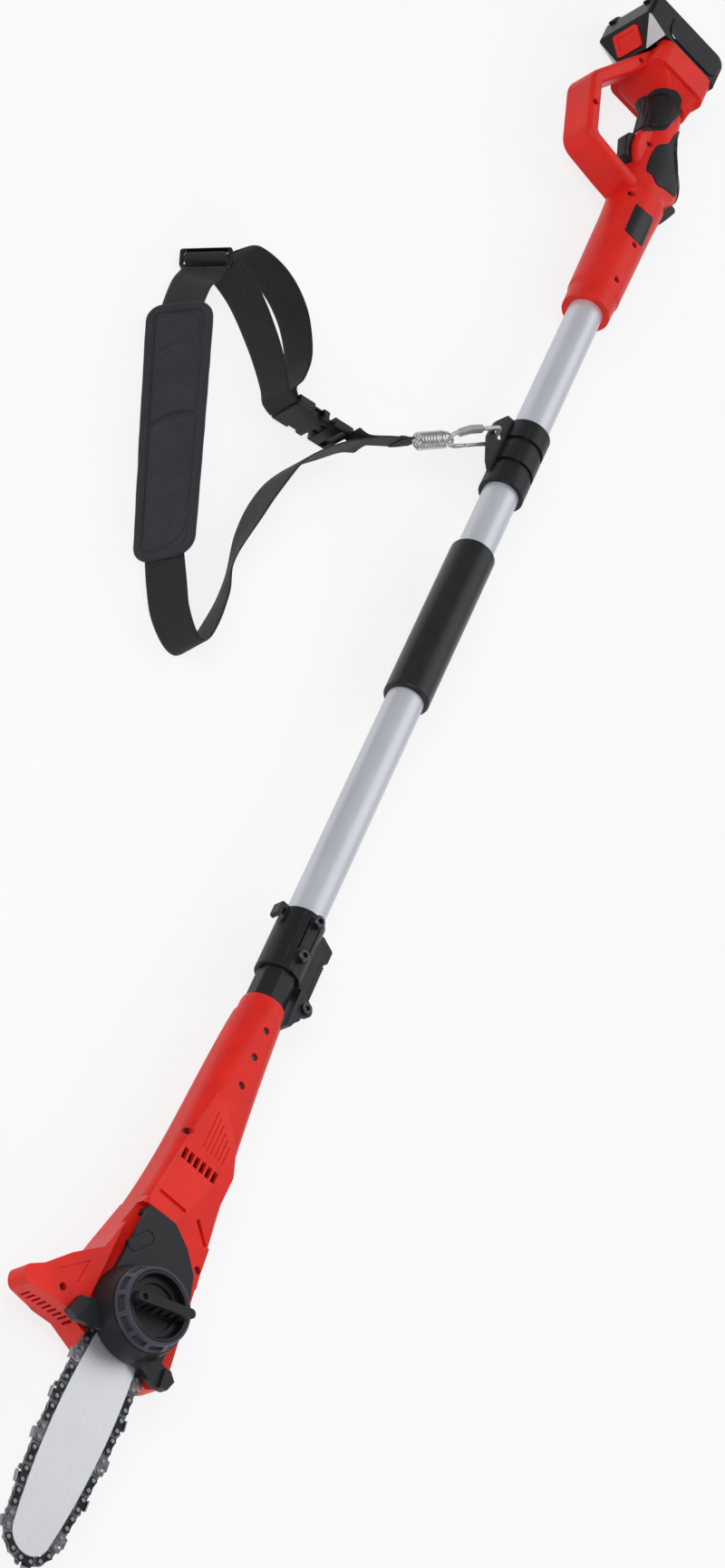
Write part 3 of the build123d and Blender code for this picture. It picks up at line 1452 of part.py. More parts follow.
def slider():
    """Triglide: a frame with a middle bar across the webbing."""
    frame = Box(SLIDER_L, 6, SLIDER_W)
    frame = fillet(frame.edges().filter_by(Axis.Y), 2.5)
    for side in (-1, 1):
        frame -= Pos(side * SLIDER_L * 0.26, 0, 0) * Box(6.4, 12, WEB_W + 2)
    lean = math.radians(SLIDER_LEAN)
    left = Vector(0, 0, 1).cross(slider_dir)
    up = Vector(0, 0, math.cos(lean)) - left * math.sin(lean)
    height = WEB_Z0 + SLIDER_W / 2 * math.cos(lean) + 3 * math.sin(lean)
    place = Plane(origin=(SLIDER.X, SLIDER.Y, height), x_dir=slider_dir, z_dir=up)
    return place.location * frame


def buckle_frame():
    middle = (BUCKLE_A + BUCKLE_B) * 0.5
    length = (BUCKLE_B - BUCKLE_A).length
    return Plane(origin=(middle.X, middle.Y, WEB_Z0 + WEB_W / 2 + 1.5), x_dir=buckle_dir, z_dir=(0, 0, 1)), length


def buckle_socket():
    frame, length = buckle_frame()
    body = Pos(-length * 0.2, 0, 0) * Box(length * 0.5, 11, WEB_W + 3)
    body = chamfer(body.edges().filter_by(Axis.X), 2.5)
    body -= Pos(length * 0.02, 0, 0) * Box(length * 0.5, 6.4, WEB_W - 4)
    for side in (-1, 1):
        body -= Pos(-length * 0.12, 0, side * WEB_W / 2) * Box(11, 20, 8)
    return frame.location * body


def buckle_tongue():
    frame, length = buckle_frame()
    base = Pos(length * 0.31, 0, 0) * Box(length * 0.3, 9, WEB_W + 2)
    base = chamfer(base.edges().filter_by(Axis.X), 2.0)
    base -= Pos(length * 0.36, 0, 0) * Box(5, 20, WEB_W - 6)
    for side in (-1, 0, 1):
        base += Pos(length * 0.02, 0, side * (WEB_W / 2 - 8)) * Box(length * 0.36, 4.4, 5)
    return frame.location * base


def arc_pair(p0, t0, p1, t1):
    """Two tangent arcs from p0 to p1 with the given directions."""
    v = p1 - p0
    a = 2 * (t0.dot(t1) - 1)
    b = -2 * v.dot(t0 + t1)
    c = v.dot(v)
    if abs(a) < 1e-9:
        d = -c / b
    else:
        d = (-b - math.sqrt(b * b - 4 * a * c)) / (2 * a)
    q0 = p0 + t0 * d
    q1 = p1 - t1 * d
    joint = (q0 + q1) * 0.5
    turn = (q1 - q0).normalized()
    return [Edge.make_tangent_arc(p0, t0, joint), Edge.make_tangent_arc(joint, turn, p1)]


def coil_spring():
    side = hang_side
    up = Vector(0, 0, 1)
    r = (SPRING_D - SPRING_WIRE) / 2
    half_turn = math.pi

    def at(angle):
        along = hang_dir * (SPRING_PITCH * angle / (2 * math.pi) - spring_len / 2)
        return spring_mid + along + side * (r * math.cos(angle)) + up * (r * math.sin(angle))

    def heading(angle):
        step = hang_dir * (SPRING_PITCH / (2 * math.pi)) + side * (-r * math.sin(angle)) + up * (r * math.cos(angle))
        return step.normalized()

    edges = []
    start = at(0) - heading(0) * SPRING_WIRE
    edges.append(Edge.make_line(start, at(0)))
    for turn in range(2 * SPRING_COILS):
        edges += arc_pair(at(turn * half_turn), heading(turn * half_turn),
                          at((turn + 1) * half_turn), heading((turn + 1) * half_turn))
    last = 2 * SPRING_COILS * half_turn
    edges.append(Edge.make_line(at(last), at(last) + heading(last) * SPRING_WIRE))
    path = Wire(edges)
    section = Plane(origin=start, z_dir=heading(0)) * Circle(SPRING_WIRE / 2)
    points = [at(half_turn * 2 * SPRING_COILS * n / 720) for n in range(721)]
    nearest = min((points[i] - points[j]).length for i in range(0, 721, 3) for j in range(i + 50, 721, 3))
    print("spring: least gap to itself", round(nearest - SPRING_WIRE, 2), "mm")
    return sweep(section, path=path)


def end_ring(centre, normal):
    plane = Plane(origin=centre, z_dir=normal)
    return plane.location * Torus((RING_OUT - RING_WIRE) / 2, RING_WIRE / 2)


def carabiner_plane():
    """Plane of the hook: x from the eye to the strap, y up and away from the pole."""
    up = Vector(0, 0, math.cos(wire_lean)) - hang_side * math.sin(wire_lean)
    return Plane(origin=hook, x_dir=-hang_dir, z_dir=(-hang_dir).cross(up))


gate_pin_x = CARABINER_L - GATE_TAIL
wire_y = (CARABINER_W - CARABINER_WIRE) / 2
gate_r = CARABINER_WIRE / 2 - GAP


def carabiner_body():
    shoulder = gate_pin_x + gate_r + GAP
    route = FilletPolyline(
        (GATE_NOSE - GAP, -wire_y),
        (0, -wire_y),
        (0, wire_y),
        (CARABINER_L - 20, wire_y),
        (CARABINER_L, 6.5),
        (CARABINER_L, -6.5),
        (shoulder + 10, -wire_y),
        (shoulder, -wire_y),
        radius=[6, 6, 12, 6, 6, 6])
    section = Plane(origin=route @ 0, z_dir=route % 0)
    body = sweep(section * Circle(CARABINER_WIRE / 2), path=route)
    # stamped sleeve round the wire's upper bend
    sleeve = plate([
        (CARABINER_L - 36, wire_y - 3),
        (CARABINER_L - 36, wire_y + 3),
        (CARABINER_L - 19, wire_y + 3.2),
        (CARABINER_L - 6, wire_y - 1),
        (CARABINER_L - 8, wire_y - 6),
        (CARABINER_L - 20, wire_y - 3),
    ], -CARABINER_WIRE / 2 - 0.6, CARABINER_WIRE / 2 + 0.6)
    body += sleeve
    tab = box(gate_pin_x, shoulder + 1, -wire_y - gate_r, -wire_y + gate_r, -GATE_TAB / 2, GATE_TAB / 2)
    tab += rod_z(-GATE_TAB / 2, GATE_TAB / 2, 2 * gate_r, gate_pin_x, -wire_y)
    body += tab
    body -= rod_z(-GATE_TAB, GATE_TAB, GATE_PIN + 2 * FIT, gate_pin_x, -wire_y)
    return carabiner_plane().location * body


def carabiner_gate():
    """Rod with a forked end that turns on its pin."""
    rod = rod_x(GATE_NOSE, gate_pin_x, 2 * gate_r, -wire_y)
    end = rod_x(gate_pin_x - 1, gate_pin_x + gate_r, 2 * gate_r, -wire_y)
    rod += end & rod_z(-gate_r, gate_r, 2 * gate_r, gate_pin_x, -wire_y)
    slot = GATE_TAB / 2 + GAP
    rod -= box(gate_pin_x - gate_r - 2 * GAP, BIG, -BIG, BIG, -slot, slot)
    rod += rod_z(-gate_r + 0.3, gate_r - 0.3, GATE_PIN, gate_pin_x, -wire_y)
    return carabiner_plane().location * rod


def build():
    os.makedirs("parts", exist_ok=True)
    save(outer_tube(), "outer_tube")
    save(inner_tube(), "inner_tube")
    save(guide_bush(), "guide_bush")
    save(foam_sleeve(), "foam_sleeve")
    save(strap_bracket(), "strap_bracket")
    handle = handle_solid()
    save(handle & RIGHT_HALF, "handle_shell_right")
    save(handle & LEFT_HALF, "handle_shell_left")
    save(screws(HANDLE_SCREWS), "handle_screws")
    save(grip_pad_rear(), "grip_pad_rear")
    save(grip_pad_back(), "grip_pad_back")
    save(trigger_solid(0), "trigger")
    save(lock_off_solid(0), "lock_off_button")
    save(switch_module(), "switch_module")
    save(battery_case(), "battery_case")
    save(battery_latch(), "battery_latch")
    save(terminals(), "battery_terminals")
    save(lock_collar(), "lock_collar")
    save(lock_bolts(), "lock_bolts")
    save(lock_lever(), "lock_lever")
    save(lever_pin(), "lever_pin")
    save(neck_sleeve(), "neck_sleeve")
    head = head_solid()
    save(head & RIGHT_HALF, "head_shell_right")
    save(head & LEFT_HALF, "head_shell_left")
    save(screws(HEAD_SCREWS), "head_screws")
    save(motor_can(), "motor_can")
    save(rotor_shaft(), "rotor_shaft")
    save(pinion(), "pinion")
    save(drive_gear(), "drive_gear")
    save(spindle(), "spindle")
    save(sprocket(), "sprocket")
    save(guide_bar(), "guide_bar")
    save(chain_drive_links(), "chain_drive_links")
    save(chain_straps(), "chain_straps")
    save(chain_cutters(), "chain_cutters")
    save(sprocket_cover(), "sprocket_cover")
    save(bar_stud(), "bar_stud")
    save(tension_ring(), "tension_ring")
    save(clamp_knob(), "clamp_knob")
    save(shoulder_pad(), "shoulder_pad")
    save(web_lower(), "web_lower")
    save(web_upper(), "web_upper")
    save(web_inner(), "web_inner")
    save(web_outer(), "web_outer")
    save(web_tail(), "web_tail")
    save(slider(), "strap_slider")
    save(buckle_socket(), "buckle_socket")
    save(buckle_tongue(), "buckle_tongue")
    save(coil_spring(), "coil_spring")
    save(end_ring(ring_a, hang_side), "strap_ring")
    save(end_ring(ring_b, Vector(0, 0, 1)), "carabiner_ring")
    save(carabiner_body(), "carabiner_body")
    save(carabiner_gate(), "carabiner_gate")
    print("chain:", LINKS, "links of", round(link_pitch, 3), "mm")


build()
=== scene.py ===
"""Looks of the telescoping pole saw: finishes, webbing, shoulder pad, light and camera.

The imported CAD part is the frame. Lengths are in metres, X runs along the pole to the
saw, Y is the tool's upper side, and Z its right side, which is up as it lies.
"""

import math

import bmesh
import bpy
from mathutils import Matrix, Vector, noise
from mathutils.bvhtree import BVHTree
from mathutils.geometry import delaunay_2d_cdt


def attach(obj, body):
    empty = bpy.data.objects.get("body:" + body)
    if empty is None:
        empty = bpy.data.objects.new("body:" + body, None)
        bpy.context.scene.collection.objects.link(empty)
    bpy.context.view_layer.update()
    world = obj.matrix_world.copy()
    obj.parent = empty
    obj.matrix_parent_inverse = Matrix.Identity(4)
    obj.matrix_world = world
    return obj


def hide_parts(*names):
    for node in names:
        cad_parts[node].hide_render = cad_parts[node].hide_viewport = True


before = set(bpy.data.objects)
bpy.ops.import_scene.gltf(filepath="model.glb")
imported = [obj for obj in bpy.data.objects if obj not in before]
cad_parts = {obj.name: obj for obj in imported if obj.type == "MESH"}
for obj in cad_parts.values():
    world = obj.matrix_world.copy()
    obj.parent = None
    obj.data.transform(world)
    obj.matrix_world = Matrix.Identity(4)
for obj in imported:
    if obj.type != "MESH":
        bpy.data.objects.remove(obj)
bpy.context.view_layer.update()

MM = 0.001
FLOOR = -0.038
UP = Vector((0, 0, 1))

# Camera that fits the photograph: its place, its axes, and its lens in the photograph's pixels
EYE_POINT = Vector((2.3057, -1.4203, 2.6757))
SIGHT_RIGHT = Vector((-0.33436, 0.68125, 0.65124))
SIGHT_DOWN = Vector((0.71920, 0.63101, -0.29083))
SIGHT_AHEAD = Vector((-0.60906, 0.37113, -0.70093))
FOCAL_PX = 4900
MIDDLE_PX = (400, 865.5)


# Materials

def new_material(name, colour, roughness, metallic=0.0):
    """Principled material with its constants on its own sockets."""
    material = bpy.data.materials.new(name)
    material.use_nodes = True
    shader = material.node_tree.nodes["Principled BSDF"]
    shader.inputs["Base Color"].default_value = (*colour, 1)
    shader.inputs["Roughness"].default_value = roughness
    shader.inputs["Metallic"].default_value = metallic
    return material, material.node_tree, shader


def link(tree, a, a_socket, b, b_socket):
    """Link from an output of node a to an input of node b."""
    tree.links.new(a.outputs[a_socket], b.inputs[b_socket])


def coordinates(tree, scale=(1, 1, 1), kind="Object"):
    """Texture coordinates stretched by scale."""
    source = tree.nodes.new("ShaderNodeTexCoord")
    mapping = tree.nodes.new("ShaderNodeMapping")
    mapping.inputs["Scale"].default_value = scale
    link(tree, source, kind, mapping, "Vector")
    return mapping


def noise_node(tree, vector, scale, detail=3.0, roughness=0.55):
    """Noise on mapped coordinates."""
    node = tree.nodes.new("ShaderNodeTexNoise")
    node.inputs["Scale"].default_value = scale
    node.inputs["Detail"].default_value = detail
    node.inputs["Roughness"].default_value = roughness
    link(tree, vector, "Vector", node, "Vector")
    return node


def ramp(tree, source, socket, stops):
    """Colour ramp from (position, colour) stops."""
    node = tree.nodes.new("ShaderNodeValToRGB")
    elements = node.color_ramp.elements
    for index, (position, colour) in enumerate(stops):
        element = elements[index] if index < 2 else elements.new(position)
        element.position = position
        element.color = (*colour, 1)
    link(tree, source, socket, node, "Fac")
    return node


def mix_colours(tree, factor, factor_socket, a, b):
    """Mix of two colours, or of two nodes' colours."""
    node = tree.nodes.new("ShaderNodeMix")
    node.data_type = "RGBA"
    link(tree, factor, factor_socket, node, 0)
    for index, value in ((6, a), (7, b)):
        if isinstance(value, tuple):
            node.inputs[index].default_value = (*value, 1)
        else:
            tree.links.new(value.outputs[0], node.inputs[index])
    return node


def bump(tree, shader, height, socket, strength, distance):
    """Fine relief on a shader's normal."""
    node = tree.nodes.new("ShaderNodeBump")
    node.inputs["Strength"].default_value = strength
    node.inputs["Distance"].default_value = distance
    link(tree, height, socket, node, "Height")
    link(tree, node, "Normal", shader, "Normal")


def math_node(tree, operation, *sources):
    """Math node on (node, socket) sources."""
    node = tree.nodes.new("ShaderNodeMath")
    node.operation = operation
    for index, (source, socket) in enumerate(sources):
        link(tree, source, socket, node, index)
    return node


def shade(colour, factor, lift=0.0):
    """Colour made lighter or darker, at most white."""
    return tuple(min(1.0, channel * factor + lift) for channel in colour)


def vary_roughness(tree, shader, source, low, high):
    """Roughness from low to high with a noise."""
    node = tree.nodes.new("ShaderNodeMapRange")
    node.inputs["To Min"].default_value = low
    node.inputs["To Max"].default_value = high
    link(tree, source, "Fac", node, "Value")
    link(tree, node, "Result", shader, "Roughness")


def edge_mask(tree, low, high):
    """White along worn, convex edges."""
    geometry = tree.nodes.new("ShaderNodeNewGeometry")
    return ramp(tree, geometry, "Pointiness", [(low, (0, 0, 0)), (high, (1, 1, 1))])


def plastic(name, colour, roughness, grain=2600.0, depth=0.00003, worn=1.5, gloss=0.3):
    """Moulded plastic: spark-eroded grain, faint mottling, edges rubbed lighter."""
    material, tree, shader = new_material(name, colour, roughness)
    shader.inputs["Specular IOR Level"].default_value = gloss
    space = coordinates(tree)
    mottle = noise_node(tree, space, scale=38.0, detail=4.0)
    body = ramp(tree, mottle, "Fac", [(0.3, shade(colour, 0.9)), (0.72, shade(colour, 1.08))])
    rubbed = edge_mask(tree, 0.53, 0.62)
    scuffs = noise_node(tree, space, scale=420.0, detail=5.0, roughness=0.7)
    broken = math_node(tree, "MULTIPLY", (rubbed, "Color"), (scuffs, "Fac"))
    finish = mix_colours(tree, broken, 0, body, shade(colour, worn, 0.012))
    link(tree, finish, 2, shader, "Base Color")
    vary_roughness(tree, shader, mottle, roughness - 0.07, roughness + 0.07)
    fine = noise_node(tree, space, grain, detail=2.0)
    bump(tree, shader, fine, "Fac", strength=0.35, distance=depth)
    return material


def brushed(name, colour, roughness, stretch, scale=900.0, contrast=0.1, metallic=1.0):
    """Metal with drawn lines along the axis that stretch makes long."""
    material, tree, shader = new_material(name, colour, roughness, metallic)
    lines = noise_node(tree, coordinates(tree, stretch), scale, detail=4.0, roughness=0.65)
    dark, light = shade(colour, 1 - contrast), shade(colour, 1 + contrast)
    tone = ramp(tree, lines, "Fac", [(0.3, dark), (0.7, light)])
    stains = noise_node(tree, coordinates(tree), scale=22.0, detail=5.0)
    film = ramp(tree, stains, "Fac", [(0.45, (0, 0, 0)), (0.8, (0.3, 0.3, 0.3))])
    finish = mix_colours(tree, film, 0, tone, shade(colour, 0.82))
    link(tree, finish, 2, shader, "Base Color")
    vary_roughness(tree, shader, lines, roughness - 0.08, roughness + 0.1)
    bump(tree, shader, lines, "Fac", strength=0.12, distance=0.00002)
    return material


def plated_wire(name, colour, roughness, metallic):
    """Bright plated wire with faint tarnish in patches."""
    material, tree, shader = new_material(name, colour, roughness, metallic)
    patches = noise_node(tree, coordinates(tree), scale=160.0, detail=4.0)
    tone = ramp(tree, patches, "Fac", [(0.35, shade(colour, 0.8)), (0.65, colour)])
    link(tree, tone, "Color", shader, "Base Color")
    vary_roughness(tree, shader, patches, roughness - 0.06, roughness + 0.1)
    return material


def oiled_steel(name, colour, roughness):
    """Blackened chain steel, rubbed bright on its edges, with oil in patches."""
    material, tree, shader = new_material(name, colour, roughness, 1.0)
    space = coordinates(tree)
    oil = noise_node(tree, space, scale=210.0, detail=4.0)
    body = ramp(tree, oil, "Fac", [(0.35, shade(colour, 0.55)), (0.7, shade(colour, 1.25))])
    rubbed = edge_mask(tree, 0.51, 0.58)
    finish = mix_colours(tree, rubbed, "Color", body, (0.33, 0.33, 0.34))
    link(tree, finish, 2, shader, "Base Color")
    vary_roughness(tree, shader, oil, roughness - 0.12, roughness + 0.15)
    bump(tree, shader, oil, "Fac", strength=0.15, distance=0.00005)
    return material


def rubber(name, colour, roughness, grain=1400.0, depth=0.00006):
    """Soft-touch rubber: fine pores, a dry sheen and a little dust."""
    material, tree, shader = new_material(name, colour, roughness)
    shader.inputs["Specular IOR Level"].default_value = 0.32
    shader.inputs["Sheen Weight"].default_value = 0.05
    space = coordinates(tree)
    dust = noise_node(tree, space, scale=46.0, detail=5.0)
    tone = ramp(tree, dust, "Fac", [(0.4, colour), (0.8, shade(colour, 1.5, 0.004))])
    link(tree, tone, "Color", shader, "Base Color")
    vary_roughness(tree, shader, dust, roughness - 0.06, roughness + 0.1)
    pores = noise_node(tree, space, grain, detail=2.0)
    bump(tree, shader, pores, "Fac", strength=0.4, distance=depth)
    return material


WAVE_LENGTH = 0.314  # of Blender's wave texture at a scale of 1


def weave(name, colour, across, along, depth):
    """Woven tape on its own UVs, in metres: ribs of yarn across and along the tape, with painted
    shade in their hollows and painted highlights on their tops.
    """
    material, tree, shader = new_material(name, colour, 0.82)
    shader.inputs["Sheen Weight"].default_value = 0.1
    shader.inputs["Sheen Roughness"].default_value = 0.45
    space = coordinates(tree, kind="UV")
    waves = []
    for direction, spacing in (("X", along), ("Y", across)):
        wave = tree.nodes.new("ShaderNodeTexWave")
        wave.bands_direction = direction
        wave.inputs["Scale"].default_value = WAVE_LENGTH / spacing
        wave.inputs["Distortion"].default_value = 0.35
        wave.inputs["Detail Scale"].default_value = 1.5
        link(tree, space, "Vector", wave, "Vector")
        waves.append(wave)
    yarn = math_node(tree, "MULTIPLY", *((wave, "Fac") for wave in waves))
    fade = noise_node(tree, coordinates(tree), scale=55.0, detail=5.0)
    # Painted shade in the weave's hollows and painted highlights on its yarn tops: colour from 0.3 to
    # 2.9 times the tape's own
    painted_yarn_shade_and_highlight = ((0.05, 0.3), (0.45, 0.9), (0.9, 2.9))
    painted_yarn_light = ramp(tree, yarn, 0, [(height, shade(colour, factor)) for height, factor in painted_yarn_shade_and_highlight])
    faded = ramp(tree, fade, "Fac", [(0.4, (0, 0, 0)), (0.85, (0.35, 0.35, 0.35))])
    finish = mix_colours(tree, faded, "Color", painted_yarn_light, shade(colour, 1.6, 0.004))
    link(tree, finish, 2, shader, "Base Color")
    bump(tree, shader, yarn, 0, strength=0.7, distance=depth)
    return material


RED = (0.78, 0.017, 0.009)
BLACK = (0.0085, 0.0085, 0.0105)
SLATE = (0.0145, 0.015, 0.0185)
NO_GRAIN = (1, 1, 1)
red_plastic = plastic("red moulded plastic", RED, 0.42, worn=1.15, gloss=0.26)
black_plastic = plastic("black moulded plastic", BLACK, 0.42, worn=2.2)
gloss_black = plastic("glossy black plastic", (0.0065, 0.0065, 0.0085), 0.3,
                      grain=900.0, depth=0.00001, worn=2.0, gloss=0.2)
slate_plastic = plastic("slate grey plastic", SLATE, 0.45, worn=1.6)
ring_plastic = plastic("pale slate plastic", (0.048, 0.05, 0.066), 0.4, worn=1.5)
soft_rubber = rubber("soft-touch rubber", (0.0085, 0.0085, 0.01), 0.5)
foam_rubber = rubber("closed-cell sleeve", BLACK, 0.34, grain=700.0, depth=0.00003)
tube_metal = brushed("drawn aluminium", (0.66, 0.67, 0.71), 0.4, (0.02, 1, 1),
                     scale=1500.0, contrast=0.06, metallic=0.45)
bar_metal = brushed("ground bar steel", (0.74, 0.75, 0.78), 0.42, (0.05, 1, 1), contrast=0.07)
plain_steel = brushed("turned steel", (0.55, 0.55, 0.56), 0.3, NO_GRAIN, scale=1200.0, contrast=0.12)
dark_steel = brushed("blackened screw steel", (0.07, 0.07, 0.075), 0.38, NO_GRAIN,
                     scale=1200.0, contrast=0.2)
link_steel = oiled_steel("oiled drive link", (0.16, 0.16, 0.17), 0.42)
strap_steel = oiled_steel("blued tie strap", (0.035, 0.036, 0.041), 0.42)
cutter_steel = oiled_steel("plated cutter", (0.17, 0.17, 0.18), 0.34)
rivet_steel = brushed("peened rivet", (0.26, 0.26, 0.27), 0.36, NO_GRAIN, scale=1600.0)
brass = brushed("terminal brass", (0.78, 0.6, 0.32), 0.3, NO_GRAIN, scale=1200.0, contrast=0.08)
wire = plated_wire("bright plated wire", (0.6, 0.6, 0.6), 0.2, 1.0)
plated_sheet = plated_wire("satin plated sheet", (0.62, 0.62, 0.61), 0.34, 0.6)
plate_black = plastic("black printed plate", (0.012, 0.012, 0.014), 0.3,
                      grain=1200.0, depth=0.000008, worn=1.4)
silver_paint = plastic("silver plastic", (0.6, 0.6, 0.62), 0.34, worn=1.2)
webbing = weave("woven webbing", (0.0135, 0.0135, 0.0165),
                across=0.0021, along=0.0019, depth=0.0005)
pad_cloth = weave("pad cover cloth", (0.0265, 0.026, 0.0335),
                  across=0.0011, along=0.0011, depth=0.00018)
binding_tape = weave("binding tape", (0.0235, 0.023, 0.0315),
                     across=0.0021, along=0.0016, depth=0.0004)
thread = rubber("sewing thread", (0.03, 0.03, 0.034), 0.7, grain=3000.0, depth=0.00005)

# Material of each CAD node, and the rounding of its edges in millimetres
NODE_FINISH = {
    "outer_tube": (tube_metal, 0.3),
    "inner_tube": (tube_metal, 0.3),
    "guide_bush": (black_plastic, 0.3),
    "foam_sleeve": (foam_rubber, 0.0),
    "strap_bracket": (black_plastic, 0.8),
    "handle_shell_right": (red_plastic, 0.8),
    "handle_shell_left": (red_plastic, 0.8),
    "handle_screws": (dark_steel, 0.3),
    "grip_pad_rear": (soft_rubber, 0.4),
    "grip_pad_back": (soft_rubber, 0.4),
    "trigger": (black_plastic, 1.2),
    "lock_off_button": (black_plastic, 1.2),
    "switch_module": (black_plastic, 0.5),
    "battery_case": (gloss_black, 0.7),
    "battery_latch": (red_plastic, 0.8),
    "battery_terminals": (brass, 0.2),
    "lock_collar": (black_plastic, 0.8),
    "lock_bolts": (dark_steel, 0.5),
    "lock_lever": (black_plastic, 0.5),
    "lever_pin": (dark_steel, 0.5),
    "neck_sleeve": (black_plastic, 0.6),
    "head_shell_right": (red_plastic, 0.9),
    "head_shell_left": (red_plastic, 0.9),
    "head_screws": (dark_steel, 0.3),
    "motor_can": (plain_steel, 0.4),
    "rotor_shaft": (plain_steel, 0.2),
    "pinion": (plain_steel, 0.15),
    "drive_gear": (plain_steel, 0.15),
    "spindle": (plain_steel, 0.3),
    "sprocket": (plain_steel, 0.2),
    "guide_bar": (bar_metal, 0.25),
    "chain_drive_links": (link_steel, 0.15),
    "chain_straps": (strap_steel, 0.15),
    "chain_cutters": (cutter_steel, 0.12),
    "sprocket_cover": (slate_plastic, 1.0),
    "bar_stud": (plain_steel, 0.3),
    "tension_ring": (ring_plastic, 0.8),
    "clamp_knob": (black_plastic, 1.0),
    "strap_slider": (black_plastic, 0.7),
    "buckle_socket": (black_plastic, 0.7),
    "buckle_tongue": (black_plastic, 0.7),
    "coil_spring": (wire, 0.0),
    "strap_ring": (wire, 0.0),
    "carabiner_ring": (wire, 0.0),
    "carabiner_body": (plated_sheet, 0.0),
    "carabiner_gate": (plated_sheet, 0.2),
}


WELD_REACH = 0.00001
ROUNDED_FROM = math.radians(38)  # edges that turn by less stay as they are


def finish_node(name, material, edge_mm):
    """Material, rounded edges and smooth normals on a CAD node."""
    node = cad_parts[name]
    mesh = node.data
    mesh.materials.clear()
    mesh.materials.append(material)
    for polygon in mesh.polygons:
        polygon.material_index = 0
        polygon.use_smooth = True
    if edge_mm:
        weld = node.modifiers.new("weld", "WELD")
        weld.merge_threshold = WELD_REACH
        rounding = node.modifiers.new("edges", "BEVEL")
        rounding.width = edge_mm * MM
        rounding.segments = 2
        rounding.limit_method = "ANGLE"
        rounding.angle_limit = ROUNDED_FROM
        rounding.use_clamp_overlap = True
        rounding.harden_normals = False
    smooth = node.modifiers.new("normals", "WEIGHTED_NORMAL")
    smooth.keep_sharp = True


for node_name, (node_material, node_edge) in NODE_FINISH.items():
    finish_node(node_name, node_material, node_edge)


def second_material(name, material, chosen):
    """Another material on the faces of a CAD node that the test chooses."""
    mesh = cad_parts[name].data
    mesh.materials.append(material)
    for polygon in mesh.polygons:
        if chosen(polygon):
            polygon.material_index = 1


def is_facet(face):
    """The battery's two corner facets face along the pole, aside and down."""
    return face.normal.x > 0.6 and 0.6 < abs(face.normal.z) < 0.76 and face.normal.y < -0.1


BAR_Z = 17.0 * MM
HEAD_FROM = 1.8 * MM


def is_rivet(face):
    """The rivets' heads stand proud of the straps on both sides of the bar."""
    return abs(face.center.z - BAR_Z) > HEAD_FROM


second_material("battery_case", silver_paint, is_facet)
for chain_node in ("chain_straps", "chain_cutters"):
    second_material(chain_node, rivet_steel, is_rivet)


# Mesh helpers

def new_piece(name, mesh, material, body):
    """Smooth piece that rides on a body, under a material slot."""
    mesh.materials.append(material)
    piece = bpy.data.objects.new(name, mesh)
    bpy.context.collection.objects.link(piece)
    for polygon in mesh.polygons:
        polygon.use_smooth = True
    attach(piece, body)
    return piece


def mesh_of(name, data):
    """Mesh from a bmesh, its faces turned outwards."""
    bmesh.ops.recalc_face_normals(data, faces=data.faces)
    mesh = bpy.data.meshes.new(name)
    data.to_mesh(mesh)
    data.free()
    return mesh


def curve_through(points, parts):
    """Tuples of numbers on a Catmull-Rom curve, with parts steps from each point to the next."""
    def between(a, b, c, d, t):
        square = (2 * a - 5 * b + 4 * c - d) * t * t
        cube = (3 * b - a - 3 * c + d) * t ** 3
        return 0.5 * (2 * b + (c - a) * t + square + cube)

    ends = [points[0], *points, points[-1]]
    rows = []
    for k in range(1, len(ends) - 2):
        near = list(zip(*ends[k - 1:k + 3]))
        for step in range(parts):
            rows.append(tuple(between(*values, step / parts) for values in near))
    return rows + [points[-1]]


def skin(data, rings):
    """Quads between rings of vertices, and a face on each end."""
    size = len(rings[0])
    for lower, upper in zip(rings, rings[1:]):
        for k in range(size):
            j = (k + 1) % size
            data.faces.new((lower[k], lower[j], upper[j], upper[k]))
    data.faces.new(rings[0])
    data.faces.new(list(reversed(rings[-1])))


def circle(count):
    """Cosine and sine of each of count even turns."""
    turns = [2 * math.pi * k / count for k in range(count)]
    return [(math.cos(turn), math.sin(turn)) for turn in turns]


def loft_rings(data, rings, uv_layer, lengths, around, closed=False):
    """Quads between rings of vertices, with UVs in metres along and around."""
    size = len(rings[0])
    last = len(rings) if closed else len(rings) - 1
    for i in range(last):
        a, b = rings[i], rings[(i + 1) % len(rings)]
        for k in range(size):
            j = (k + 1) % size
            face = data.faces.new((a[k], a[j], b[j], b[k]))
            uvs = ((lengths[i], around[k]), (lengths[i], around[k + 1]),
                   (lengths[i + 1], around[k + 1]), (lengths[i + 1], around[k]))
            for loop, uv in zip(face.loops, uvs):
                loop[uv_layer].uv = uv
    if not closed:
        data.faces.new(rings[0])
        data.faces.new(list(reversed(rings[-1])))


SELVEDGE = 0.14    # share of a tape's half width
BAND = 0.86        # share of its thickness between the selvedges
SWELL = 0.14       # what the selvedges add to that
ROUND_OFF = 0.45   # what the outermost edge loses of it
TAPE_STEPS = 14
TAPE_PARTS = 8
FOLD_PARTS = 4


def tape_profile(width, thickness):
    """Cross-section of webbing: a thin band whose selvedges are a little thicker and round."""
    half = width * MM / 2
    thick = thickness * MM / 2
    upper = []
    for k in range(TAPE_STEPS + 1):
        v = -1 + 2 * k / TAPE_STEPS
        edge = max(0.0, abs(v) - (1 - SELVEDGE)) / SELVEDGE
        swell = SWELL * math.sin(math.pi * min(1.0, edge * 1.3))
        upper.append((v * half, thick * (BAND + swell - ROUND_OFF * edge ** 4)))
    return upper + [(a, -b) for a, b in reversed(upper)]


def around_lengths(profile):
    """Length round a profile up to each of its points, and all the way."""
    total = [0.0]
    for a, b in zip(profile, profile[1:] + profile[:1]):
        total.append(total[-1] + math.dist(a, b))
    return total


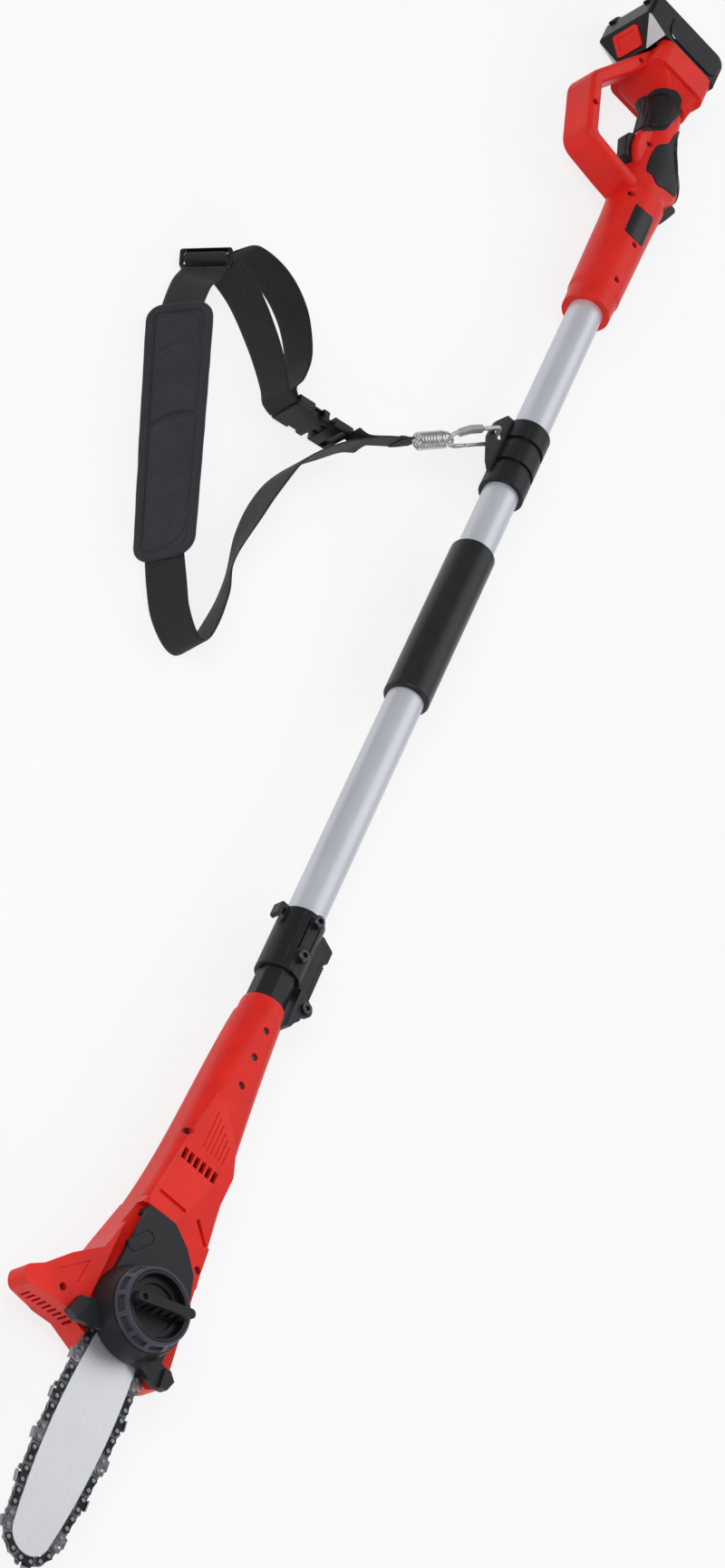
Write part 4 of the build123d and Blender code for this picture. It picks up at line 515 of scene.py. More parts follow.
# Webbing, on the same routes as the solids, in millimetres
WEB_Z0 = -37.4
WEB_W = 38.0
WEB_T = 1.8
TAIL_W = 24.0
TAIL_LIFT = 25.4
EYE = (-441.0, -29.0)
PAD_DIR = (0.92407, 0.38223)
TAIL_DIR = (-0.66984, 0.74251)
TAIL_END = (-353.33, -109.05)
SLIDER_DIR = (-0.92427, -0.38176)
SLIDER_LEAN = 42.0
RIPPLE = 0.3
RIPPLE_SCALE = 45  # per metre


def tape(name, stations, width, node, start=None, end=None):
    """Webbing on its edge through stations: x, y, height of its lower edge and lean to its left."""
    rows = curve_through(stations, TAPE_PARTS)
    middles = []
    for x, y, lift, lean in rows:
        height = WEB_Z0 + lift + width / 2 * math.cos(math.radians(lean))
        middles.append(Vector((x, y, height)) * MM)
    profile = tape_profile(width, WEB_T)
    data = bmesh.new()
    uv_layer = data.loops.layers.uv.new("tape")
    rings = []
    lengths = [0.0]
    for k, middle in enumerate(middles):
        ahead = middles[min(k + 1, len(middles) - 1)] - middles[max(k - 1, 0)]
        if start and k == 0:
            ahead = Vector((*start, 0))
        if end and k == len(middles) - 1:
            ahead = Vector((*end, 0))
        ahead.normalize()
        lean = math.radians(rows[k][3])
        left = UP.cross(ahead).normalized()
        up = UP * math.cos(lean) + left * math.sin(lean)
        up = (up - ahead * up.dot(ahead)).normalized()
        face = ahead.cross(up)
        ripple = RIPPLE * MM * noise.noise(middle * RIPPLE_SCALE)
        rings.append([data.verts.new(middle + up * a + face * (b + ripple)) for a, b in profile])
        if k:
            lengths.append(lengths[-1] + (middle - middles[k - 1]).length)
    loft_rings(data, rings, uv_layer, lengths, around_lengths(profile))
    piece = new_piece(name, mesh_of(name, data), webbing, "strap")
    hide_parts(node)


def from_eye(x, y, lift, lean):
    """Station at a distance from the bracket's eye."""
    return (EYE[0] + x, EYE[1] + y, lift, lean)


# Place along a stitch and share of the thread's radius there
STITCH = ((-1.0, 0.25), (-0.72, 0.85), (0.0, 1.0), (0.72, 0.85), (1.0, 0.25))


def stitches(name, runs, length, radius, body):
    """Sewn thread: short rounded stitches along runs of (place, facing) points, in metres."""
    data = bmesh.new()
    for run in runs:
        for (a, facing), (b, _) in zip(run, run[1:]):
            along = b - a
            middle = (a + b) / 2
            reach = min(length / 2, along.length * 0.46)
            along.normalize()
            side = along.cross(facing).normalized()
            rings = []
            for share, girth in STITCH:
                drop = -radius * 0.9 * abs(share) ** 3
                centre = middle + along * (reach * share) + facing * drop
                rings.append([data.verts.new(centre + (side * x + facing * y) * (radius * girth))
                              for x, y in circle(6)])
            skin(data, rings)
    new_piece(name, mesh_of(name, data), thread, body)


tape("webbing_lower", [
    (-68.5, -267.05, 12.0, 19),
    from_eye(394, -218, 6, 24),
    from_eye(412, -201, 2, 20),
    from_eye(425, -181, 0, 10),
    from_eye(423, -168, 0, 2),
    from_eye(404, -164, 0, 2),
    from_eye(366, -164, 0, 12),
    from_eye(328, -169, 0, 25),
    from_eye(277, -173, 0, 2),
    from_eye(228, -170, 0, -6),
    from_eye(187, -160, 1, 0),
    from_eye(151, -139, 5, 4),
    (-310.84, -152.58, 9, 0),
    (-320.22, -142.19, 12, 0),
], WEB_W, "web_lower", start=PAD_DIR, end=TAIL_DIR)
tape("webbing_upper", [
    (-283.5, -355.97, 11.07, -34),
    from_eye(121, -329, 8, -37),
    from_eye(102, -325, 6, -SLIDER_LEAN),
    (-352.44, -352.47, 5.5, -SLIDER_LEAN),
], WEB_W, "web_upper", start=(-PAD_DIR[0], -PAD_DIR[1]), end=SLIDER_DIR)
tape("webbing_inner", [
    from_eye(76.5, -310.8, 4, 8),
    from_eye(82, -276, 0, 8),
    from_eye(108, -238, 0, 4),
    from_eye(130, -215, 0, 0),
    from_eye(142, -206, 0, 0),
    (-295.47, -223.13, 0, 0),
], WEB_W, "web_inner")
tape("webbing_outer", [
    from_eye(66.5, -315, 4, -5),
    from_eye(43, -294, 0, 6),
    from_eye(40, -260, 0, 6),
    from_eye(57, -227, 0, 4),
    from_eye(90, -203, 0, 0),
    from_eye(118, -198, 0, 0),
    from_eye(134, -201, 0, 0),
    (-299.73, -224.22, 0, 0),
], WEB_W, "web_outer")
tape("webbing_tail", [
    (-313.4, -162.32, TAIL_LIFT, 0),
    (-316.64, -149.74, TAIL_LIFT, 0),
    (-334.98, -129.4, TAIL_LIFT, 0),
    (*TAIL_END, TAIL_LIFT, 0),
], TAIL_W, "web_tail")


# Shoulder pad, made flat in its own frame: s along it, v across it, w out of its face, in millimetres
PAD_L = 236.0
COVER_L = 252.0
PAD_W = 62.0
PAD_RIM = 4.0
PAD_CORNER = 16.0
PAD_MID = Vector((-176.0, -311.5, 0.0))
PAD_LEAN = (34.0, 19.0)
BINDING_HALF = 5.0
BINDING_RISE = 2.3
BINDING_SQUARE = 0.55
BINDING_STEPS = 16
CUSHION_INSET = 4.0
CUSHION_CAP = 4.6
SLAB_LAYERS = ((-2.0, 0.6), (0.0, 0.0), (2.0, 0.6))  # height and how far it is drawn in
SEWN_HEIGHT = 1.2
FLANGE = 1.9
GROOVE = (0.9, 1.7)  # depth and width beside the binding
COVER_FROM = 1.5     # lower places belong to the sewn edge
COVER_RISE = 5.0     # width of the slope up from the groove
COVER_LAP = 1.0      # how far the cover runs under the binding
UNEVEN = 0.35
SEAM_INSET = 3.4
SEAM_PITCH = 3.4
SEAM_HEIGHT = 2.55
CLOTH_FRAMES = 20
VOXEL = 0.004

# Length and radius of a stitch, in metres
PAD_STITCH = (0.0026, 0.00042)
TAIL_STITCH = (0.0019, 0.00036)


def on_pad(s, v, w):
    """Place on the twisted pad, in metres from millimetres."""
    lean = math.radians(PAD_LEAN[0] + (PAD_LEAN[1] - PAD_LEAN[0]) * (s / PAD_L + 0.5))
    along = Vector((*PAD_DIR, 0))
    left = Vector((-PAD_DIR[1], PAD_DIR[0], 0))
    up = Vector((0, 0, math.cos(lean))) + left * math.sin(lean)
    face = along.cross(up)
    height = WEB_Z0 + PAD_W / 2 * math.cos(lean) + PAD_RIM / 2 * math.sin(lean)
    return (PAD_MID + Vector((0, 0, height)) + along * s + up * v + face * w) * MM


def facing_on_pad(s, v, side):
    """Direction out of the pad's face on one side."""
    return (on_pad(s, v, side) - on_pad(s, v, 0)).normalized()


def rounded_outline(inset, corner, step):
    """Closed outline of the pad at an inset, with outward directions."""
    long_half = COVER_L / 2 - inset
    wide_half = PAD_W / 2 - inset
    r = max(2.0, corner - inset)
    corners = ((1, 1, 0), (-1, 1, 90), (-1, -1, 180), (1, -1, 270))
    outline = []
    for index, (sx, sy, turn) in enumerate(corners):
        centre = (sx * (long_half - r), sy * (wide_half - r))
        parts = max(3, round(r * math.pi / 2 / step))
        for k in range(parts + 1):
            angle = math.radians(turn + 90 * k / parts)
            direction = (math.cos(angle), math.sin(angle))
            outline.append((centre[0] + r * direction[0], centre[1] + r * direction[1], *direction))
        next_sx, next_sy, _ = corners[(index + 1) % 4]
        following = (next_sx * (long_half - r), next_sy * (wide_half - r))
        a = (centre[0] + r * direction[0], centre[1] + r * direction[1])
        b = (following[0] + r * direction[0], following[1] + r * direction[1])
        parts = max(2, round(math.dist(a, b) / step))
        for k in range(1, parts):
            t = k / parts
            outline.append((a[0] + (b[0] - a[0]) * t, a[1] + (b[1] - a[1]) * t, *direction))
    return outline


def flat_cushion():
    """Thin slab to be blown up: the outline of the foam under its cover."""
    outline = rounded_outline(CUSHION_INSET, PAD_CORNER, 4.0)
    data = bmesh.new()
    layers = []
    for w, pull in SLAB_LAYERS:
        layers.append([data.verts.new(((s - dx * pull) * MM, (v - dy * pull) * MM, w * MM))
                       for s, v, dx, dy in outline])
    skin(data, layers)
    slab = bpy.data.objects.new("slab", mesh_of("slab", data))
    bpy.context.collection.objects.link(slab)
    remesh = slab.modifiers.new("remesh", "REMESH")
    remesh.mode = "VOXEL"
    remesh.voxel_size = VOXEL
    return slab


def evaluated_mesh(piece):
    """Mesh of an object with its modifiers applied."""
    graph = bpy.context.evaluated_depsgraph_get()
    return bpy.data.meshes.new_from_object(piece.evaluated_get(graph))


def blown_cushion():
    """Cloth under pressure, pinned along its sewn edge, with each point's movement capped."""
    slab = flat_cushion()
    mesh = evaluated_mesh(slab)
    bpy.data.objects.remove(slab)
    cushion = bpy.data.objects.new("cushion", mesh)
    bpy.context.collection.objects.link(cushion)
    begin = [vertex.co.copy() for vertex in mesh.vertices]
    pinned = cushion.vertex_groups.new(name="sewn")
    for vertex in mesh.vertices:
        if abs(vertex.co.z) < SEWN_HEIGHT * MM:
            pinned.add([vertex.index], 1.0, "REPLACE")
    cloth = cushion.modifiers.new("cloth", "CLOTH")
    cloth.settings.quality = 5
    cloth.settings.mass = 0.2
    cloth.settings.tension_stiffness = 12
    cloth.settings.compression_stiffness = 12
    cloth.settings.bending_stiffness = 1.5
    cloth.settings.use_pressure = True
    cloth.settings.uniform_pressure_force = 4.0
    cloth.settings.vertex_group_mass = "sewn"
    cloth.settings.effector_weights.gravity = 0
    cloth.point_cache.frame_start = 1
    cloth.point_cache.frame_end = CLOTH_FRAMES
    for frame_number in range(1, CLOTH_FRAMES + 1):
        bpy.context.scene.frame_set(frame_number)
    blown = evaluated_mesh(cushion)
    moved = [vertex.co.copy() for vertex in blown.vertices]
    cushion.modifiers.remove(cloth)
    bpy.context.scene.frame_set(1)
    bpy.data.meshes.remove(blown)
    for vertex, old, new in zip(mesh.vertices, begin, moved):
        step = new - old
        if step.length > CUSHION_CAP * MM:
            step = step.normalized() * (CUSHION_CAP * MM)
        vertex.co = old + step
    smooth = cushion.modifiers.new("smooth", "SMOOTH")
    smooth.factor = 0.5
    smooth.iterations = 4
    finer = cushion.modifiers.new("finer", "SUBSURF")
    finer.levels = finer.render_levels = 2
    finished = evaluated_mesh(cushion)
    bpy.data.objects.remove(cushion)
    return finished


# Folds of the cover: place along the pad, bow, tilt, width and depth
CREASES = (
    (-8.0, 5.0, 0.14, 1.7, 3.0),
    (-74.0, 9.0, 0.1, 3.2, 1.6),
    (-50.0, -6.0, -0.55, 4.2, 0.9),
    (46.0, 4.0, 0.25, 4.5, 0.35),
)


def crease(s, v):
    """Depth of the folds in the cover, each with a swell beside it."""
    depth = 0.0
    for middle, bow, tilt, sharp, deep in CREASES:
        line = middle - bow * (1 - (v / 24) ** 2) - tilt * v
        off = s - line
        swell = 0.45 * deep * math.exp(-((off - 2.6 * sharp) / (2 * sharp)) ** 2)
        depth += deep * math.exp(-(off / sharp) ** 2) - swell
    return depth


def cover_height(s, v, w):
    """Height of the cover over a place on the blown cushion: folded, and sewn flat at its edge."""
    fold = crease(s, v) + UNEVEN * noise.noise(Vector((s * 0.05, v * 0.09, w * 0.02)))
    w -= math.copysign(fold, w)
    arch = PAD_W / 2 - 2 * BINDING_HALF + COVER_LAP
    past = abs(s) - (COVER_L / 2 - 2 * BINDING_HALF + COVER_LAP - arch)
    room = arch - math.hypot(max(0.0, past), v)
    rise = max(0.0, min(1.0, room / COVER_RISE))
    edge = FLANGE - GROOVE[0] * math.exp(-(room / GROOVE[1]) ** 2)
    return math.copysign(edge + (abs(w) - edge) * math.sin(rise * math.pi / 2), w)


def shoulder_pad():
    """Padded cover over the solid pad."""
    mesh = blown_cushion()
    data = bmesh.new()
    data.from_mesh(mesh)
    bpy.data.meshes.remove(mesh)
    uv_layer = data.loops.layers.uv.new("cloth")
    flat = {}
    for vertex in data.verts:
        s, v, w = (c / MM for c in vertex.co)
        flat[vertex] = (s * MM, v * MM)
        if abs(w) > COVER_FROM:
            w = cover_height(s, v, w)
        vertex.co = on_pad(s, v, w)
    for face in data.faces:
        for loop in face.loops:
            loop[uv_layer].uv = flat[loop.vert]
    pad = new_piece("pad_cushion", mesh_of("pad_cushion", data), pad_cloth, "strap")
    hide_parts("shoulder_pad")


def squared(value):
    """Cosine or sine of a circle drawn out towards a square."""
    return math.copysign(abs(value) ** BINDING_SQUARE, value)


def pad_binding():
    """Woven tape folded round the pad's edge, and the seam that holds it."""
    outline = rounded_outline(BINDING_HALF + 0.2, PAD_CORNER, 2.6)
    profile = [(BINDING_HALF * squared(x), BINDING_RISE * squared(y))
               for x, y in circle(BINDING_STEPS)]
    data = bmesh.new()
    uv_layer = data.loops.layers.uv.new("tape")
    rings = []
    lengths = [0.0]
    for k, (s, v, dx, dy) in enumerate(outline):
        wave = UNEVEN * noise.noise(Vector((s * 0.06, v * 0.06, 3.0)))
        rings.append([data.verts.new(on_pad(s + dx * (a + wave), v + dy * (a + wave), b))
                      for a, b in profile])
        following = outline[(k + 1) % len(outline)][:2]
        lengths.append(lengths[-1] + math.dist((s, v), following) * MM)
    around = [c * MM for c in around_lengths(profile)]
    loft_rings(data, rings, uv_layer, lengths, around, closed=True)
    new_piece("pad_binding", mesh_of("pad_binding", data), binding_tape, "strap")
    seam = rounded_outline(BINDING_HALF + SEAM_INSET, PAD_CORNER, SEAM_PITCH)
    runs = []
    for side in (1, -1):
        runs.append([(on_pad(s, v, side * SEAM_HEIGHT), facing_on_pad(s, v, side))
                     for s, v, _, _ in seam + seam[:1]])
    stitches("pad_seam", runs, *PAD_STITCH, "strap")


shoulder_pad()
pad_binding()


# Pieces that lie on a shell: an outline drawn on the photograph and raised from the shell's face

GRAZING = 0.14       # least cosine between a face's normal and the sight line
RAISED_LIP = 0.1     # millimetres
LONGEST_SIDE = 4.5   # millimetres
UV_PER_PX = 0.0006
RIB_STEPS = 14
RIB_SIDES = 6
RIB_ROOT = 0.6       # millimetres below the base
RIB_COUNT = 11
BEAD_STOP = 0.003    # metres along the pole
BEAD_SMOOTHING = 4
BEAD_SINK = Vector((0, 0.0011, 0.0006))
BEAD_SIDES = 10
BEAD_RADIUS = 2.2    # millimetres


def longest_side(corners):
    """Longest side of a closed ring of corners."""
    return max((a - b).length for a, b in zip(corners, corners[1:] + corners[:1]))


def surface(*names):
    """Tree of the nodes' triangles for casting rays."""
    points = []
    faces = []
    for name in names:
        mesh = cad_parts[name].data
        first = len(points)
        points.extend(vertex.co.copy() for vertex in mesh.vertices)
        faces.extend(tuple(first + k for k in polygon.vertices) for polygon in mesh.polygons)
    return BVHTree.FromPolygons(points, faces)


def sight_line(u, v):
    """Direction from the camera through a pixel of the photograph."""
    across = (u - MIDDLE_PX[0]) / FOCAL_PX
    fall = (v - MIDDLE_PX[1]) / FOCAL_PX
    return (SIGHT_RIGHT * across + SIGHT_DOWN * fall + SIGHT_AHEAD).normalized()


def seen_from_camera(tree, u, v):
    """Place and outward normal of the face behind a pixel, or None for both."""
    hit, normal, _, _ = tree.ray_cast(EYE_POINT, sight_line(u, v))
    if hit is not None and normal.dot(hit - EYE_POINT) > 0:
        normal = -normal
    return hit, normal


def inset_of(point, outline):
    """Distance from a point to the outline, in its own units."""
    p = Vector(point)
    distances = []
    for a, b in zip(outline, outline[1:] + outline[:1]):
        a, b = Vector(a), Vector(b)
        t = max(0.0, min(1.0, (p - a).dot(b - a) / (b - a).length_squared))
        distances.append((p - a - (b - a) * t).length)
    return min(distances)


def rounded(outline, parts, cut=0.22):
    """Closed smooth outline through corner points, cut a little at each corner."""
    points = []
    count = len(outline)
    for k in range(count):
        before, here, after = (Vector(outline[(k + d) % count]) for d in (-1, 0, 1))
        a = here.lerp(before, cut)
        b = here.lerp(after, cut)
        for step in range(parts + 1):
            t = step / parts
            points.append(tuple(a * (1 - t) ** 2 + here * (2 * t * (1 - t)) + b * t * t))
    return points


def even(outline, step):
    """Closed outline with no side longer than step."""
    points = []
    for a, b in zip(outline, outline[1:] + outline[:1]):
        a, b = Vector(a), Vector(b)
        parts = max(1, math.ceil((b - a).length / step))
        points.extend(tuple(a.lerp(b, k / parts)) for k in range(parts))
    return points


def drawn_faces(outline, step):
    """Points and triangles that fill an outline on a grid of a step."""
    us = [p[0] for p in outline]
    vs = [p[1] for p in outline]
    points = [Vector(p) for p in outline]
    edges = [(k, (k + 1) % len(outline)) for k in range(len(outline))]
    for i in range(1, int((max(us) - min(us)) / step)):
        for j in range(1, int((max(vs) - min(vs)) / step)):
            points.append(Vector((min(us) + i * step, min(vs) + j * step)))
    found = delaunay_2d_cdt(points, edges, [list(range(len(outline)))], 1, 1e-5)
    return found[0], found[2]


def raised(name, outline, carriers, height, edge, material, step=0.9, thickness=0.9):
    """Moulded piece on the handle: its outline, in pixels, cast on the carriers' faces and rounded
    at its edge, both in millimetres."""
    tree = surface(*carriers)
    outline = even(outline, step)
    flat, faces = drawn_faces(outline, step)
    data = bmesh.new()
    uv_layer = data.loops.layers.uv.new("face")
    made = []
    for p in flat:
        hit, normal = seen_from_camera(tree, p.x, p.y)
        if hit is None or abs(normal.dot(sight_line(p.x, p.y))) < GRAZING:
            made.append(None)
            continue
        share = min(1.0, inset_of(p, outline) / edge)
        lift = RAISED_LIP + (height - RAISED_LIP) * math.sqrt(max(0.0, 1 - (1 - share) ** 2))
        made.append(data.verts.new(hit + normal * (lift * MM)))
    for face in faces:
        corners = [made[k] for k in face]
        if not all(corners) or longest_side([corner.co for corner in corners]) >= LONGEST_SIDE * MM:
            continue
        new_face = data.faces.new(corners)
        for loop, k in zip(new_face.loops, face):
            loop[uv_layer].uv = flat[k] * UV_PER_PX
    for vertex in [v for v in data.verts if not v.link_faces]:
        data.verts.remove(vertex)
    mesh = mesh_of(name, data)
    piece = new_piece(name, mesh, material, "pole")
    solid = piece.modifiers.new("body", "SOLIDIFY")
    solid.thickness = thickness * MM
    centre = sum((vertex.co for vertex in mesh.vertices), Vector()) / len(mesh.vertices)
    outward = sum((polygon.normal for polygon in mesh.polygons), Vector())
    solid.offset = -1.0 if outward.dot(EYE_POINT - centre) > 0 else 1.0
    return piece


def mirrored(piece):
    """Copy of a grip piece on the tool's other side."""
    mesh = piece.data.copy()
    mesh.materials.clear()
    for vertex in mesh.vertices:
        vertex.co.z = -vertex.co.z
    mesh.flip_normals()
    twin = new_piece(piece.name + "_left", mesh, soft_rubber, "pole")
    for modifier in piece.modifiers:
        solid = twin.modifiers.new("body", "SOLIDIFY")
        solid.thickness = modifier.thickness
        solid.offset = modifier.offset


def ribs(name, lines, carriers, base, width, height):
    """Half-round ribs along lines cast on the carriers' faces, raised from base, in millimetres."""
    tree = surface(*carriers)
    data = bmesh.new()
    for start, end in lines:
        spots = []
        for k in range(RIB_STEPS + 1):
            u, v = Vector(start).lerp(Vector(end), k / RIB_STEPS)
            hit, normal = seen_from_camera(tree, u, v)
            if hit is not None:
                spots.append((hit, normal))
        last = len(spots) - 1
        rings = []
        for k, (place, normal) in enumerate(spots):
            along = (spots[min(k + 1, last)][0] - spots[max(k - 1, 0)][0]).normalized()
            across = along.cross(normal).normalized()
            taper = math.sqrt(1 - abs(2 * k / last - 1) ** 6)
            section = [(side * width / 2, base - RIB_ROOT) for side in (-1, 1)]
            for step in range(1, RIB_SIDES):
                angle = math.pi * step / RIB_SIDES
                lift = base + (height * math.sin(angle) - 0.1) * taper
                section.append((width / 2 * math.cos(angle), lift))
            rings.append([data.verts.new(place + (across * a + normal * b) * MM) for a, b in section])
        skin(data, rings)
    return new_piece(name, mesh_of(name, data), soft_rubber, "pole")


def upper_edge(mesh):
    """Highest point of a mesh's open edge at each stop along the pole."""
    uses = {}
    for polygon in mesh.polygons:
        for key in polygon.edge_keys:
            uses[key] = uses.get(key, 0) + 1
    highest = {}
    for k in sorted({k for key, count in uses.items() if count == 1 for k in key}):
        place = mesh.vertices[k].co
        stop = round(place.x / BEAD_STOP)
        if stop not in highest or place.y > highest[stop].y:
            highest[stop] = place.copy()
    return [highest[stop] for stop in sorted(highest)]


def seam_bead(name, piece, radius):
    """Moulded bead on a piece's upper edge, over its seam with the next grip."""
    spots = upper_edge(piece.data)
    for _ in range(BEAD_SMOOTHING):
        inner = [(a + b * 2 + c) / 4 for a, b, c in zip(spots, spots[1:], spots[2:])]
        spots = spots[:1] + inner + spots[-1:]
    spots = [place - BEAD_SINK for place in spots]
    last = len(spots) - 1
    data = bmesh.new()
    rings = []
    for k, place in enumerate(spots):
        along = (spots[min(k + 1, last)] - spots[max(k - 1, 0)]).normalized()
        side = along.cross(UP).normalized()
        up = side.cross(along)
        reach = radius * MM * max(0.1, math.sqrt(1 - abs(2 * k / last - 1) ** 6))
        rings.append([data.verts.new(place + (side * x + up * y) * reach)
                      for x, y in circle(BEAD_SIDES)])
    skin(data, rings)
    return new_piece(name, mesh_of(name, data), soft_rubber, "pole")


# Bare plate where the rating label would be
raised("rating_plate", rounded([
    (702.2, 224.2), (721.6, 241.4), (708.6, 273.0), (688.8, 254.2)], 2, 0.05),
    ("handle_shell_right",), height=0.35, edge=0.5, material=plate_black,
    step=1.2, thickness=0.4)
# Soft grip that comes round from the back of the handle
side_grip = raised("grip_pad_side", rounded([
    (746.8, 147.5), (747.4, 158.0), (747.4, 187.0), (747.0, 200.0), (746.4, 210.0),
    (745.5, 219.0), (737.8, 211.5), (724.0, 204.6), (719.4, 193.2), (714.0, 190.1),
    (712.5, 185.5), (717.9, 170.2), (725.5, 159.5), (738.5, 158.7), (743.6, 149.0)], 3, 0.3),
    ("handle_shell_right", "handle_shell_left", "grip_pad_back"), height=0.9, edge=2.0,
    material=soft_rubber)
# Rear grip: its rim, the panel in it and the ribs on the panel
REAR_CARRIERS = ("handle_shell_right", "grip_pad_rear")
rear_rim = raised("grip_rim", rounded([
    (713.3, 105.9), (720.9, 99.0), (733.2, 96.4), (746.9, 100.1), (753.0, 109.7), (749.2, 125.8),
    (740.8, 136.5), (734.7, 144.2), (707.1, 145.0), (704.9, 144.9), (707.1, 133.5),
    (714.0, 118.2)], 3, 0.3),
    REAR_CARRIERS, height=0.8, edge=2.0, material=soft_rubber)
rear_panel = raised("grip_panel", rounded([
    (720.5, 109.0), (734.0, 104.0), (747.0, 110.0), (743.5, 124.5), (735.5, 137.0), (730.5, 140.5),
    (713.5, 140.5), (715.5, 126.0)], 3, 0.25),
    REAR_CARRIERS, height=1.5, edge=1.6, material=soft_rubber)
rear_ribs = ribs("grip_ribs", [
    ((725.5 - 1.1 * k, 109.5 + 2.75 * k), (740.5 - 1.1 * k, 111.6 + 2.75 * k))
    for k in range(RIB_COUNT)],
    REAR_CARRIERS, base=1.5, width=1.5, height=0.9)
side_seam = seam_bead("grip_seam", side_grip, BEAD_RADIUS)
for grip in (side_grip, side_seam, rear_rim, rear_panel, rear_ribs):
    mirrored(grip)


# Folds of webbing

def folded(name, origin, ahead, out, up, route, thickness):
    """Webbing bent in one plane: route has its place along ahead and out, and its width."""
    rows = curve_through(route, FOLD_PARTS)
    data = bmesh.new()
    uv_layer = data.loops.layers.uv.new("tape")
    rings = []
    lengths = [0.0]
    for k, (x, y, width) in enumerate(rows):
        x0, y0, _ = rows[max(k - 1, 0)]
        x1, y1, _ = rows[min(k + 1, len(rows) - 1)]
        tangent = (ahead * (x1 - x0) + out * (y1 - y0)).normalized()
        face = tangent.cross(up)
        place = (origin + ahead * x + out * y) * MM
        profile = tape_profile(width, thickness)
        rings.append([data.verts.new(place + up * a + face * b) for a, b in profile])
        if k:
            lengths.append(lengths[-1] + math.dist(rows[k - 1][:2], (x, y)) * MM)
    around = around_lengths(tape_profile(route[0][2], thickness))
    loft_rings(data, rings, uv_layer, lengths, around)
    new_piece(name, mesh_of(name, data), webbing, "strap")


# Webbing through the slider: over its end bars and under the middle one
FOLD_W = 37.0
lean_cos = math.cos(math.radians(SLIDER_LEAN))
lean_sin = math.sin(math.radians(SLIDER_LEAN))
slider_up = UP * lean_cos - Vector((-SLIDER_DIR[1], SLIDER_DIR[0], 0)) * lean_sin
slider_ahead = Vector((*SLIDER_DIR, 0))
slider_mid = Vector((-361.0, -356.0, WEB_Z0 + 23.5 * lean_cos + 3 * lean_sin))
folded("webbing_fold", slider_mid, slider_ahead, slider_ahead.cross(slider_up), slider_up, [
    (x, y, FOLD_W) for x, y in (
        (-12.0, 0.4), (-10.6, 2.0), (-9.4, 4.1), (-7.9, 4.3), (-6.4, 2.6), (-5.2, 0.0), (-4.0, -2.8),
        (-2.2, -4.3), (0.0, -4.6), (2.2, -4.3), (4.0, -2.8), (5.2, 0.0), (6.4, 2.6), (7.9, 4.3),
        (9.4, 4.1), (10.8, 2.4))], 1.7)

# End of the tail, pinched and sewn round its ring
TACK_ROWS = (-6.0, -8.5, -11.0)
TACK_STEP = 2.2
TACK_OUT = 2.42
tail_end = Vector((*TAIL_END, 0.0))
tail_ahead = Vector((*TAIL_DIR, 0))
tail_out = Vector((TAIL_DIR[1], -TAIL_DIR[0], 0))
folded("webbing_loop", tail_end, tail_ahead, tail_out, UP, [
    (-15.0, 1.7, 20.0), (-9.0, 1.75, 19.0), (-4.0, 1.9, 14.5), (-1.0, 2.2, 9.0), (1.6, 2.3, 6.2),
    (3.8, 1.7, 5.4), (4.7, -0.15, 5.2), (3.8, -2.0, 5.4), (1.6, -2.6, 6.2), (-1.0, -2.4, 9.0),
    (-4.0, -1.9, 14.5), (-9.0, -1.75, 19.0), (-15.0, -1.7, 20.0)], 1.3)
tack_runs = []
for along in TACK_ROWS:
    for face in (1, -1):
        row = tail_end + tail_ahead * along + tail_out * (face * TACK_OUT)
        tack_runs.append([((row + UP * (TACK_STEP * k)) * MM, tail_out * face) for k in range(-3, 4)])
stitches("tail_tack", tack_runs, *TAIL_STITCH, "strap")


# Camera, light and floor

FAR = 400
FLOOR_HALF = 80.0
FLOOR_DROP = 0.0006
LIT_POINT = Vector((0.0, -0.05, 0.0))
LIGHTS = (  # name, place, size and power
    ("key", (1.2, -2.2, 3.2), 2.2, 62.0),
    ("fill", (-2.4, 1.6, 2.6), 3.0, 30.0),
    ("rim", (2.2, 2.6, 1.8), 1.6, 24.0),
)


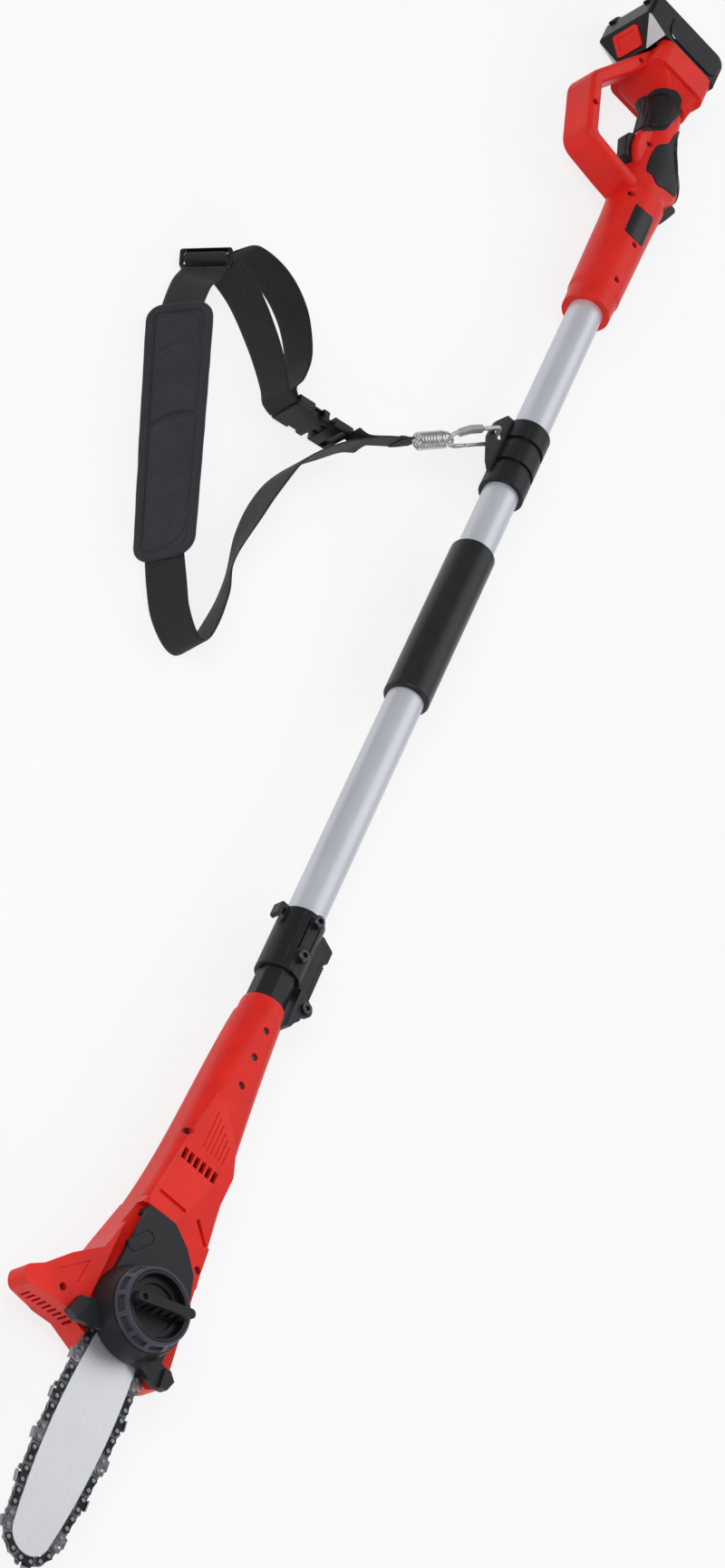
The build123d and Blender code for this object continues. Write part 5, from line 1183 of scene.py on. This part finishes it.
def set_camera():
    """Camera at the photograph's viewing angle."""
    camera_data = bpy.data.cameras.new("camera")
    camera = bpy.data.objects.new("camera", camera_data)
    bpy.context.collection.objects.link(camera)
    turn = Matrix((SIGHT_RIGHT, -SIGHT_DOWN, -SIGHT_AHEAD)).transposed()
    camera.matrix_world = Matrix.Translation(EYE_POINT) @ turn.to_4x4()
    camera_data.sensor_fit = "VERTICAL"
    camera_data.angle = 2 * math.atan(MIDDLE_PX[1] / FOCAL_PX)
    camera_data.clip_end = FAR
    bpy.context.scene.camera = camera


def set_floor():
    """Pale floor just under the saw."""
    mesh = bpy.data.meshes.new("floor")
    data = bmesh.new()
    bmesh.ops.create_grid(data, x_segments=2, y_segments=2, size=FLOOR_HALF)
    data.to_mesh(mesh)
    data.free()
    floor = bpy.data.objects.new("floor", mesh)
    floor.location.z = FLOOR - FLOOR_DROP
    bpy.context.collection.objects.link(floor)
    mesh.materials.append(plain_white("pale floor"))


def set_lights():
    """Even sky and three soft lamps."""
    world = bpy.data.worlds.new("studio")
    bpy.context.scene.world = world
    world.use_nodes = True
    sky = world.node_tree.nodes["Background"]
    sky.inputs["Color"].default_value = (0.93, 0.95, 1.0, 1)
    sky.inputs["Strength"].default_value = 0.42
    for name, place, size, power in LIGHTS:
        light_data = bpy.data.lights.new(name, "AREA")
        light_data.energy = power
        light_data.size = size
        light = bpy.data.objects.new(name, light_data)
        light.location = place
        aim = LIT_POINT - Vector(place)
        light.rotation_euler = aim.to_track_quat("-Z", "Y").to_euler()
        bpy.context.collection.objects.link(light)


def plain_white(name):
    """Pale floor that keeps shadows and is white to the camera and in reflections."""
    material, tree, shader = new_material(name, (0.9, 0.9, 0.9), 0.8)
    path = tree.nodes.new("ShaderNodeLightPath")
    seen = math_node(tree, "MAXIMUM", (path, "Is Camera Ray"), (path, "Is Glossy Ray"))
    through = math_node(tree, "MAXIMUM", (seen, 0), (path, "Is Transmission Ray"))
    share = math_node(tree, "MULTIPLY", (through, 0))
    share.inputs[1].default_value = 0.8
    white = tree.nodes.new("ShaderNodeEmission")
    white.inputs["Color"].default_value = (1, 1, 1, 1)
    white.inputs["Strength"].default_value = 1.0
    mixed = tree.nodes.new("ShaderNodeMixShader")
    link(tree, share, 0, mixed, 0)
    link(tree, shader, 0, mixed, 1)
    link(tree, white, 0, mixed, 2)
    link(tree, mixed, 0, tree.nodes["Material Output"], "Surface")
    return material


set_camera()
set_floor()
set_lights()
bpy.context.scene.view_settings.view_transform = "Standard"
